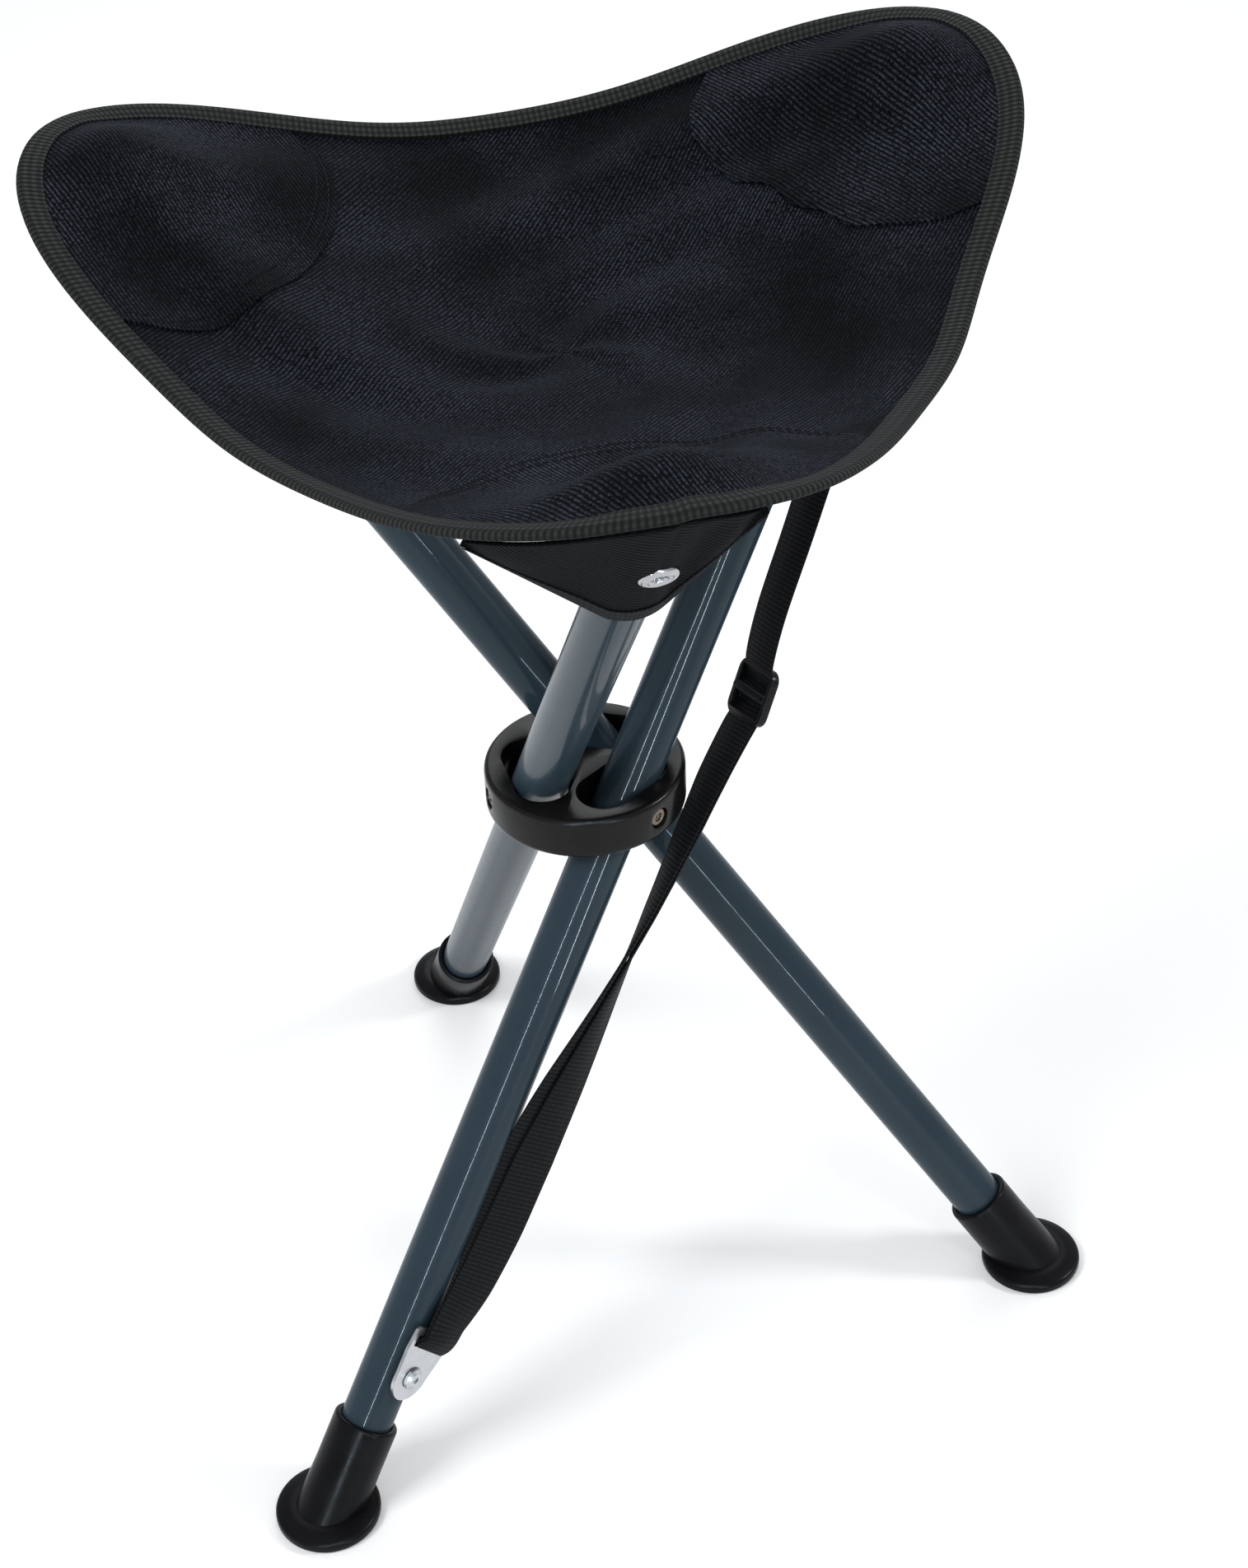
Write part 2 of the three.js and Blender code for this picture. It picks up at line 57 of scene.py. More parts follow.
THIRD_TURN = 2 * math.pi / 3
SMOOTH_ANGLE = math.radians(38)


class Corner(Enum):
    """The legs, and the seat corners that stand on them."""

    FRONT = "front"
    RIGHT = "right"
    LEFT = "left"


class Side(Enum):
    """The two sectors of cloth that follow a leg, in order round the hub from the leg's pin."""

    LEADING = 0
    TRAILING = 1


# ---- modelling helpers ----------------------------------------------------------------
def deselect() -> None:
    """Leave edit mode and select nothing."""
    if bpy.context.object and bpy.context.object.mode != "OBJECT":
        bpy.ops.object.mode_set(mode="OBJECT")
    bpy.ops.object.select_all(action="DESELECT")


def choose(piece: bpy.types.Object) -> None:
    """Select one piece and make it the active one.

    Args:
        piece: The object that the next operators act on.
    """
    deselect()
    piece.select_set(True)
    bpy.context.view_layer.objects.active = piece


def select_edges(piece: bpy.types.Object, wanted: Callable[[Vector, Vector], bool]) -> None:
    """Enter edit mode with only some edges selected.

    Args:
        piece: The object.
        wanted: Says of an edge's two ends whether it is selected.
    """
    choose(piece)
    bpy.ops.object.mode_set(mode="EDIT")
    bpy.ops.mesh.select_mode(type="EDGE")
    bpy.ops.mesh.select_all(action="DESELECT")
    bpy.ops.object.mode_set(mode="OBJECT")
    for edge in piece.data.edges:
        start, end = (piece.data.vertices[v].co for v in edge.vertices)
        edge.select = wanted(start, end)
    bpy.ops.object.mode_set(mode="EDIT")


def apply_modifier(piece: bpy.types.Object, kind: str, **settings: object) -> None:
    """Add a modifier, set it up and apply it.

    Args:
        piece: The object to change.
        kind: The modifier's type, as Blender names it.
        settings: The modifier's properties.
    """
    choose(piece)
    modifier = piece.modifiers.new(kind.title(), kind)
    for key, value in settings.items():
        setattr(modifier, key, value)
    bpy.ops.object.modifier_apply(modifier=modifier.name)


def combine(piece: bpy.types.Object, tool: bpy.types.Object, operation: str) -> None:
    """Join a tool to a piece, or cut it out, and remove the tool.

    Args:
        piece: The object that stays.
        tool: The object that is used up.
        operation: UNION or DIFFERENCE.
    """
    apply_modifier(piece, "BOOLEAN", operation=operation, object=tool, solver="EXACT")
    bpy.data.objects.remove(tool, do_unlink=True)


def finish_piece(piece: bpy.types.Object, name: str, place: Matrix | None = None) -> bpy.types.Object:
    """Name a piece, move it to its place in the mesh and shade it smooth.

    Args:
        piece: The modelled object.
        name: The name it gets.
        place: Where the modelled frame goes in the stool.

    Returns:
        The same object, at the origin.
    """
    piece.name = name
    piece.data.name = name
    if place is not None:
        piece.matrix_world = place @ piece.matrix_world
    choose(piece)
    bpy.ops.object.transform_apply(location=True, rotation=True, scale=True)
    bpy.ops.object.shade_smooth_by_angle(angle=SMOOTH_ANGLE)
    return piece


def turned(profile: Sequence[tuple[float, float]], steps: int = 48) -> bpy.types.Object:
    """Turn an outline about Z, as on a lathe.

    Args:
        profile: Radius and height of each corner, from axis to axis.
        steps: Number of divisions round the axis.

    Returns:
        A closed turned object.
    """
    deselect()
    radius, height = profile[0]
    bpy.ops.mesh.primitive_plane_add(size=0.001, location=(radius, 0, height))
    piece = bpy.context.object
    bpy.ops.object.transform_apply(location=True)
    bpy.ops.object.mode_set(mode="EDIT")
    bpy.ops.mesh.select_mode(type="VERT")
    bpy.ops.mesh.select_all(action="SELECT")
    bpy.ops.mesh.merge(type="CENTER")
    for (r0, z0), (r1, z1) in zip(profile, profile[1:]):
        bpy.ops.mesh.extrude_region_move(TRANSFORM_OT_translate={"value": (r1 - r0, 0, z1 - z0)})
    bpy.ops.mesh.select_all(action="SELECT")
    bpy.ops.mesh.spin(steps=steps, angle=2 * math.pi, center=(0, 0, 0), axis=(0, 0, 1))
    bpy.ops.mesh.select_all(action="SELECT")
    bpy.ops.mesh.remove_doubles(threshold=1e-5)
    bpy.ops.mesh.dissolve_degenerate()
    bpy.ops.mesh.normals_make_consistent(inside=False)
    bpy.ops.object.mode_set(mode="OBJECT")
    return piece


def rounded(profile: Sequence[tuple[float, float, float]], parts: int = 4) -> list[tuple[float, float]]:
    """Round the corners of an outline.

    Args:
        profile: Radius, height and rounding of each corner.
        parts: Number of edges in each rounded corner.

    Returns:
        The outline's radius and height pairs.
    """
    result = []
    for i, (r, z, size) in enumerate(profile):
        here = Vector((r, z))
        if size == 0 or i in (0, len(profile) - 1):
            result.append((r, z))
            continue
        before = here + (Vector(profile[i - 1][:2]) - here).normalized() * size
        after = here + (Vector(profile[i + 1][:2]) - here).normalized() * size
        for j in range(parts + 1):
            t = j / parts
            spot = before * (1 - t) ** 2 + here * 2 * t * (1 - t) + after * t * t
            result.append((max(spot.x, 0.0), spot.y))
    return result


def mesh_object(name: str, points: Sequence[Vector], faces: Sequence[Sequence[int]]) -> bpy.types.Object:
    """Make an object from points and faces.

    Args:
        name: The object's name.
        points: Its corners.
        faces: The corners of each face, by number.

    Returns:
        The object, in the scene.
    """
    mesh = bpy.data.meshes.new(name)
    mesh.from_pydata([tuple(p) for p in points], [], faces)
    piece = bpy.data.objects.new(name, mesh)
    bpy.context.scene.collection.objects.link(piece)
    return piece


def map_corners(piece: bpy.types.Object, flat: Sequence[tuple[float, float]]) -> None:
    """Lay a mesh's corners out on its flat cloth.

    Args:
        piece: The object.
        flat: The place of each corner on the cloth, in metres.
    """
    layer = piece.data.uv_layers.new(name="cloth")
    for loop in piece.data.loops:
        layer.data[loop.index].uv = flat[loop.vertex_index]


def face_outward(piece: bpy.types.Object, merge: float = 0.0) -> None:
    """Turn a closed body's faces outwards.

    Args:
        piece: The object.
        merge: The distance within which corners are joined first.
    """
    choose(piece)
    bpy.ops.object.mode_set(mode="EDIT")
    bpy.ops.mesh.select_all(action="SELECT")
    if merge:
        bpy.ops.mesh.remove_doubles(threshold=merge)
    bpy.ops.mesh.normals_make_consistent(inside=False)
    bpy.ops.object.mode_set(mode="OBJECT")


def grid_mesh(name: str, rows: Sequence[Sequence[Vector]],
              uv: Sequence[Sequence[tuple[float, float]]]) -> bpy.types.Object:
    """Make a sheet from rows of points, with a map that follows it.

    Args:
        name: The sheet's name.
        rows: Points in rows of equal length.
        uv: The place of each point on the flat cloth, in metres.

    Returns:
        The sheet, one layer thick.
    """
    columns = len(rows[0])
    faces = []
    for i in range(len(rows) - 1):
        for j in range(columns - 1):
            corner = i * columns + j
            faces.append((corner, corner + 1, corner + columns + 1, corner + columns))
    piece = mesh_object(name, [p for row in rows for p in row], faces)
    map_corners(piece, [spot for row in uv for spot in row])
    choose(piece)
    bpy.ops.object.shade_smooth()
    return piece


def tube_section(name: str, frames: Sequence[Matrix],
                 section: Sequence[tuple[float, float]]) -> bpy.types.Object:
    """Sweep a section along a line of frames, with a map of length and girth.

    Args:
        name: The piece's name.
        frames: The section's place at each step.
        section: The outline's points in the frame's first two directions.

    Returns:
        A closed body.
    """
    count = len(section)
    last = len(frames) - 1
    lengths = [0.0]
    for here, following in zip(frames, frames[1:]):
        lengths.append(lengths[-1] + (following.translation - here.translation).length)
    girths = [0.0]
    for here, following in zip(section, [*section[1:], section[0]]):
        girths.append(girths[-1] + math.dist(here, following))
    points = [f @ Vector((x, y, 0)) for f in frames for x, y in section]
    faces = []
    maps = []
    for i in range(last):
        near, far = lengths[i], lengths[i + 1]
        for j in range(count):
            n = (j + 1) % count
            faces.append((i * count + j, i * count + n, (i + 1) * count + n, (i + 1) * count + j))
            maps += [(near, girths[j]), (near, girths[j + 1]), (far, girths[j + 1]), (far, girths[j])]
    faces.append(tuple(reversed(range(count))))
    maps += [(0, girths[j]) for j in reversed(range(count))]
    faces.append(tuple(last * count + j for j in range(count)))
    maps += [(lengths[-1], girths[j]) for j in range(count)]
    piece = mesh_object(name, points, faces)
    layer = piece.data.uv_layers.new(name="cloth")
    for item, spot in zip(layer.data, maps):
        item.uv = spot
    face_outward(piece)
    bpy.ops.object.shade_smooth_by_angle(angle=math.radians(50))
    return piece


def dress(piece: bpy.types.Object, material: bpy.types.Material) -> None:
    """Give a piece its finish.

    Args:
        piece: The object.
        material: Its material.
    """
    piece.data.materials.clear()
    piece.data.materials.append(material)


# ---- finishes --------------------------------------------------------------------------
class NodeSheet:
    """A material's nodes, with short calls for the ones this object needs."""

    def __init__(self, name: str) -> None:
        """Start a material.

        Args:
            name: The material's name.
        """
        self.material = bpy.data.materials.new(name)
        self.material.use_nodes = True
        self.tree = self.material.node_tree
        self.shader = self.tree.nodes["Principled BSDF"]

    def node(self, kind: str, inputs: dict[str | int, object] | None = None,
             **settings: object) -> bpy.types.Node:
        """Add a node.

        Args:
            kind: The node's type.
            inputs: Values or sockets for its inputs.
            settings: The node's properties.

        Returns:
            The new node.
        """
        made = self.tree.nodes.new(kind)
        for key, value in settings.items():
            setattr(made, key, value)
        for key, value in (inputs or {}).items():
            if isinstance(value, bpy.types.NodeSocket):
                self.tree.links.new(value, made.inputs[key])
            else:
                made.inputs[key].default_value = value
        return made

    def place(self, use_map: bool = False, turn: float = 0.0) -> bpy.types.NodeSocket:
        """Give the coordinates that a pattern reads, in metres.

        Args:
            use_map: Whether to read the piece's own map, not its place.
            turn: How far the pattern is turned, in radians.

        Returns:
            The vector socket.
        """
        source = self.node("ShaderNodeTexCoord").outputs["UV" if use_map else "Object"]
        return self.node("ShaderNodeMapping", {"Vector": source, "Rotation": (0, 0, turn)}).outputs[0]

    def noise(self, place: bpy.types.NodeSocket, size: float, detail: float = 3.0) -> bpy.types.NodeSocket:
        """Add cloudy noise with features of a size in metres.

        Args:
            place: The coordinates.
            size: The features' size.
            detail: The number of finer layers.

        Returns:
            The noise's value.
        """
        made = self.node("ShaderNodeTexNoise", {"Vector": place, "Scale": 1 / size, "Detail": detail})
        return made.outputs["Fac"]

    def ribs(self, place: bpy.types.NodeSocket, pitch: float,
             distortion: float = 0.0) -> bpy.types.NodeSocket:
        """Add straight ribs across X, of a pitch in metres.

        Args:
            place: The coordinates.
            pitch: From one rib to the next.
            distortion: How uneven the ribs are.

        Returns:
            The ribs' value, from 0 to 1.
        """
        made = self.node("ShaderNodeTexWave", {"Vector": place, "Scale": math.pi / (10 * pitch),
                                               "Distortion": distortion, "Detail Scale": 2.0})
        return made.outputs["Fac"]

    def spread(self, value: bpy.types.NodeSocket, low: float, high: float,
               edges: tuple[float, float] = (0.0, 1.0)) -> bpy.types.NodeSocket:
        """Move a value to a new range.

        Args:
            value: The value.
            low: What the first edge becomes.
            high: What the second edge becomes.
            edges: The range that is read.

        Returns:
            The new value.
        """
        return self.node("ShaderNodeMapRange", {"Value": value, "From Min": edges[0], "From Max": edges[1],
                                                "To Min": low, "To Max": high}).outputs[0]

    def blend(self, share: bpy.types.NodeSocket, low: Sequence[float],
              high: Sequence[float]) -> bpy.types.NodeSocket:
        """Mix two colours.

        Args:
            share: How much of the second there is.
            low: The first colour.
            high: The second colour.

        Returns:
            The mixed colour.
        """
        mix = self.node("ShaderNodeMix", {0: share, 6: (*low, 1), 7: (*high, 1)}, data_type="RGBA")
        return mix.outputs[2]

    def math(self, operation: str, a: object, b: object) -> bpy.types.NodeSocket:
        """Work out one value from two.

        Args:
            operation: The sum's name.
            a: The first value or socket.
            b: The second value or socket.

        Returns:
            The result.
        """
        return self.node("ShaderNodeMath", {0: a, 1: b}, operation=operation).outputs[0]

    def bump(self, height: bpy.types.NodeSocket, depth: float, strength: float = 1.0,
             under: bpy.types.NodeSocket | None = None) -> bpy.types.NodeSocket:
        """Raise the surface by a value.

        Args:
            height: The value.
            depth: What a value of 1 raises, in metres.
            strength: How much of it shows.
            under: A bump that this one lies on.

        Returns:
            The normal socket.
        """
        inputs: dict[str | int, object] = {"Height": height, "Distance": depth, "Strength": strength}
        if under is not None:
            inputs["Normal"] = under
        return self.node("ShaderNodeBump", inputs).outputs[0]

    def set(self, **values: object) -> None:
        """Set the shader's inputs; an underscore stands for a space.

        Args:
            values: Values or sockets by input name.
        """
        for key, value in values.items():
            socket = self.shader.inputs[key.replace("_", " ")]
            if isinstance(value, bpy.types.NodeSocket):
                self.tree.links.new(value, socket)
            else:
                socket.default_value = value


@dataclass(frozen=True)
class TubePaint:
    """Blue-grey metallic paint with fine grain."""

    dark: tuple[float, float, float] = (0.018, 0.032, 0.044)
    light: tuple[float, float, float] = (0.028, 0.045, 0.058)
    flake: float = 0.0006

    def make(self) -> bpy.types.Material:
        """Return the material."""
        sheet = NodeSheet("tube_paint")
        place = sheet.place()
        cloud = sheet.noise(place, 0.03)
        flake = sheet.noise(place, self.flake, 1.0)
        sheet.set(Base_Color=sheet.blend(cloud, self.dark, self.light), Metallic=0.0,
                  Roughness=sheet.spread(sheet.noise(place, 0.008), 0.26, 0.34),
                  Normal=sheet.bump(flake, 0.000004, 0.3), Specular_IOR_Level=0.05,
                  Coat_Weight=0.24, Coat_Roughness=0.03, Coat_Tint=(0.86, 0.94, 1.0, 1))
        return sheet.material


@dataclass(frozen=True)
class MouldedPlastic:
    """Dark plastic or rubber with a fine moulded grain."""

    name: str
    color: tuple[float, float, float]
    roughness: float
    grain: float = 0.0009
    depth: float = 0.00006
    haze: float = 0.3
    shine: float = 0.15

    def make(self) -> bpy.types.Material:
        """Return the material."""
        sheet = NodeSheet(self.name)
        place = sheet.place()
        dusty = tuple(c * (1 + self.haze) + 0.001 for c in self.color)
        cloud = sheet.noise(place, 0.012, 4.0)
        grain = sheet.noise(place, self.grain, 2.0)
        sheet.set(Base_Color=sheet.blend(cloud, self.color, dusty),
                  Roughness=sheet.spread(cloud, self.roughness - 0.06, self.roughness + 0.08, (0.3, 0.7)),
                  Normal=sheet.bump(grain, self.depth, 0.6), Specular_IOR_Level=self.shine)
        return sheet.material


@dataclass(frozen=True)
class ZincSteel:
    """Bright zinc plate with soft rolling marks."""

    name: str = "zinc_steel"
    color: tuple[float, float, float] = (0.62, 0.63, 0.65)
    roughness: float = 0.2

    def make(self) -> bpy.types.Material:
        """Return the material."""
        sheet = NodeSheet(self.name)
        place = sheet.place()
        cloud = sheet.noise(place, 0.004, 4.0)
        darker = tuple(c * 0.72 for c in self.color)
        sheet.set(Base_Color=sheet.blend(cloud, darker, self.color), Metallic=1.0,
                  Roughness=sheet.spread(cloud, self.roughness, self.roughness + 0.2, (0.3, 0.7)),
                  Normal=sheet.bump(sheet.noise(place, 0.0012), 0.00003, 0.5))
        return sheet.material


@dataclass(frozen=True)
class TwillCloth:
    """Near-black cloth with fine diagonal ribs, and broad patches of painted shade and sheen."""

    name: str
    turn: float
    color: tuple[float, float, float] = (0.0050, 0.0061, 0.0086)
    pitch: float = 0.0016

    def make(self) -> bpy.types.Material:
        """Return the material."""
        sheet = NodeSheet(self.name)
        place = sheet.place(turn=self.turn)
        twill = sheet.ribs(place, self.pitch, 0.6)
        across = sheet.ribs(sheet.place(turn=self.turn + math.radians(62)), self.pitch * 0.55, 0.4)
        weave = sheet.math("ADD", sheet.math("MULTIPLY", twill, 0.75), sheet.math("MULTIPLY", across, 0.25))
        # broad patches of painted shade and sheen, lighter and darker at random, standing in for the soft
        # shading of the cloth's folds
        painted_fold_shade = sheet.noise(place, 0.05, 4.0)
        slub = sheet.noise(place, 0.0011, 2.0)
        light = tuple(c * 6.0 + 0.0010 for c in self.color)
        dark = tuple(c * 0.05 for c in self.color)
        uneven = sheet.spread(slub, -0.2, 1.6, (0.3, 0.7))
        thread = sheet.math("MULTIPLY", sheet.math("MULTIPLY", weave, weave), uneven)
        share = sheet.math("MULTIPLY", thread, sheet.spread(painted_fold_shade, 0.25, 1.25, (0.35, 0.65)))
        soft = sheet.bump(sheet.noise(place, 0.022, 2.0), 0.0010, 0.35)
        sheet.set(Base_Color=sheet.blend(share, dark, light), Roughness=0.78,
                  Normal=sheet.bump(weave, 0.00035, 0.8, soft), Sheen_Weight=0.02, Sheen_Roughness=0.4,
                  Sheen_Tint=(0.5, 0.63, 0.9, 1), Specular_IOR_Level=0.05)
        return sheet.material


@dataclass(frozen=True)
class RibbedTape:
    """Woven tape or webbing with ribs across and along it."""

    name: str
    color: tuple[float, float, float]
    across: float
    along: float
    sheen: float = 0.15
    depth: float = 0.0005
    lanes: float = 0.6

    def make(self) -> bpy.types.Material:
        """Return the material."""
        sheet = NodeSheet(self.name)
        cross = sheet.ribs(sheet.place(use_map=True), self.across, 0.3)
        lengthwise = sheet.ribs(sheet.place(use_map=True, turn=math.pi / 2), self.along, 0.2)
        lanes = sheet.spread(lengthwise, 1 - self.lanes, 1.0)
        weave = sheet.math("MULTIPLY", sheet.spread(cross, 0.25, 1.0), lanes)
        light = tuple(c * 3.0 + 0.0010 for c in self.color)
        dark = tuple(c * 0.2 for c in self.color)
        sheet.set(Base_Color=sheet.blend(weave, dark, light), Roughness=0.72,
                  Normal=sheet.bump(weave, self.depth, 0.9), Sheen_Weight=self.sheen, Sheen_Roughness=0.5,
                  Sheen_Tint=(0.8, 0.85, 0.95, 1), Specular_IOR_Level=0.07)
        return sheet.material


def plastic(name: str, color: tuple[float, float, float], roughness: float,
            **settings: float) -> bpy.types.Material:
    """Return a moulded plastic or rubber."""
    return MouldedPlastic(name, color, roughness, **settings).make()


class Finishes:
    """Every material of the stool."""

    def __init__(self) -> None:
        """Make the materials."""
        self.tube = TubePaint().make()
        self.hub = plastic("hub_plastic", (0.0042, 0.0040, 0.0040), 0.22, grain=0.0007, depth=0.00009,
                           haze=0.6)
        self.rubber = plastic("foot_rubber", (0.0030, 0.0030, 0.0036), 0.30, grain=0.0012, depth=0.00005,
                              haze=0.6, shine=0.10)
        self.cap = plastic("cap_plastic", (0.008, 0.008, 0.009), 0.5)
        self.slider = plastic("slider_plastic", (0.006, 0.006, 0.007), 0.26, grain=0.0006, depth=0.00002)
        self.steel = ZincSteel().make()
        self.rivet = ZincSteel("rivet_steel", (0.50, 0.50, 0.52), 0.06).make()
        self.pin = ZincSteel("pin_steel", (0.20, 0.16, 0.13)).make()
        self.seat = TwillCloth("seat_twill", math.radians(38)).make()
        self.patch = TwillCloth("patch_twill", math.radians(-24), (0.0066, 0.0080, 0.0108)).make()
        self.pocket = TwillCloth("pocket_twill", math.radians(70), (0.0008, 0.0009, 0.0010)).make()
        self.binding = RibbedTape("binding_tape", (0.0100, 0.0104, 0.0098), 0.0024, 0.0032,
                                  sheen=0.03, depth=0.0009).make()
        self.webbing = RibbedTape("webbing", (0.0045, 0.0045, 0.0050), 0.0019, 0.0034,
                                  sheen=0.03, lanes=0.2).make()
        self.thread = RibbedTape("thread", (0.0075, 0.0080, 0.0105), 0.0008, 0.0006,
                                 sheen=0.05, depth=0.0001).make()


# ---- the frame's driving places ----------------------------------------------------------
class StoolFrame:
    """Where the hub and legs are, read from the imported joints."""

    tilt: float = math.radians(36.1)

    def __init__(self) -> None:
        """Read each leg's pivot and pin direction."""
        joints = {j["name"]: j for j in frame["record"]["behaviour"]["joints"]}
        self.pivots = {c: Vector(joints[f"leg_{c.value}_fold"]["pos_m"]) for c in Corner}
        self.pins = {c: Vector(joints[f"leg_{c.value}_fold"]["axis"]).normalized() for c in Corner}
        middle = sum(self.pivots.values(), Vector()) / 3
        self.hub = middle
        self.axis_foot = Vector((middle.x, middle.y, 0))

    def leg(self, corner: Corner) -> Matrix:
        """Give a leg's own frame: X along its pin, Y to its outer side, Z up the leg.

        Args:
            corner: Which leg.

        Returns:
            The leg's frame in the stool.
        """
        pin = self.pins[corner]
        outward = UP.cross(pin)
        along = outward * math.sin(self.tilt) + UP * math.cos(self.tilt)
        side = along.cross(pin)
        turn = Matrix((pin, side, along)).transposed().to_4x4()
        return Matrix.Translation(self.pivots[corner]) @ turn

    def pin_turn(self, corner: Corner) -> float:
        """Give the direction of a leg's pin, in radians round the hub.

        Args:
            corner: Which leg.

        Returns:
            The angle from +X.
        """
        return math.atan2(self.pins[corner].y, self.pins[corner].x)


# ---- camera, floor and light ----------------------------------------------------------------
@dataclass
class Studio:
    """Floor, lights and camera."""

    eye: tuple[float, float, float] = (-0.13999, -0.89049, 0.95955)
    right: tuple[float, float, float] = (0.98064, -0.19376, -0.02830)
    down: tuple[float, float, float] = (-0.14084, -0.59753, -0.78938)
    forward: tuple[float, float, float] = (0.13604, 0.77808, -0.61325)
    lens: float = 64.81
    pale: tuple[float, float, float] = (0.95, 0.95, 0.95)

    def camera(self, stool: StoolFrame) -> None:
        """Place the camera round the hub's axis.

        Args:
            stool: The stool's frame.
        """
        deselect()
        bpy.ops.object.camera_add(location=stool.axis_foot + Vector(self.eye))
        camera = bpy.context.object
        rows = (Vector(self.right), -Vector(self.down), -Vector(self.forward))
        camera.rotation_euler = Matrix(rows).transposed().to_euler()
        camera.data.lens = self.lens
        camera.data.sensor_width = 36
        camera.data.clip_start = 0.01
        bpy.context.scene.camera = camera

    def floor(self) -> None:
        """Make a plain pale floor."""
        deselect()
        bpy.ops.mesh.primitive_plane_add(size=14)
        floor = bpy.context.object
        floor.name = "floor"
        sheet = NodeSheet("floor_paper")
        cloud = sheet.noise(sheet.place(), 0.5)
        sheet.set(Base_Color=sheet.blend(cloud, self.pale, (0.96, 0.96, 0.96)), Roughness=0.7,
                  Specular_IOR_Level=0.2)
        floor.data.materials.append(sheet.material)

    def strip(self, stool: StoolFrame, corner: Corner, reach: Vector, power: float) -> None:
        """Hang a long thin light in line with a leg, for a narrow streak on its paint.

        Args:
            stool: The stool's frame.
            corner: Which leg.
            reach: From the hub to the light.
            power: Its power in watts.
        """
        deselect()
        bpy.ops.object.light_add(type="AREA", location=stool.hub + reach)
        light = bpy.context.object
        light.name = f"strip_{corner.value}"
        inward = -reach.normalized()
        along = stool.leg(corner).to_3x3() @ UP
        along = (along - inward * along.dot(inward)).normalized()
        turn = Matrix((along, (-inward).cross(along), -inward)).transposed()
        light.rotation_euler = turn.to_euler()
        light.data.shape = "RECTANGLE"
        light.data.size = 2.2
        light.data.size_y = 0.030
        light.data.energy = power
        light.data.color = (0.72, 0.90, 1.0)
        light.visible_diffuse = False

    def lights(self, stool: StoolFrame) -> None:
        """Hang the soft lights.

        Args:
            stool: The stool's frame.
        """
        bpy.context.scene.view_settings.view_transform = "Standard"
        world = bpy.context.scene.world or bpy.data.worlds.new("studio")
        bpy.context.scene.world = world
        world.use_nodes = True
        background = world.node_tree.nodes["Background"]
        background.inputs["Color"].default_value = (0.97, 0.985, 1.0, 1)
        background.inputs["Strength"].default_value = 0.56
        self.strip(stool, Corner.RIGHT, Vector((-0.429, -1.332, 0.534)), 22.0)
        self.strip(stool, Corner.LEFT, Vector((0.42, -1.4355, 0.03)), 15.0)
        rig = (
            ("key", (-1.5, -0.5, 1.7), 0.9, 27, (0.97, 0.985, 1.0)),
            ("side", (1.6, -0.3, 1.2), 0.35, 13, (0.97, 0.985, 1.0)),
            ("back", (0.3, 1.7, 1.6), 1.4, 13, (0.96, 0.98, 1.0)),
            ("front", (0.25, -0.95, 1.45), 0.14, 1.6, (0.90, 0.96, 1.0)),
        )
        target = stool.axis_foot + Vector((0, 0, 0.3))
        for name, spot, size, power, color in rig:
            deselect()
            bpy.ops.object.light_add(type="AREA", location=spot)
            light = bpy.context.object
            light.name = f"light_{name}"
            light.rotation_euler = (target - Vector(spot)).to_track_quat("-Z", "Y").to_euler()
            light.data.size = size
            light.data.energy = power
            light.data.color = color
            light.visible_glossy = name != "key"


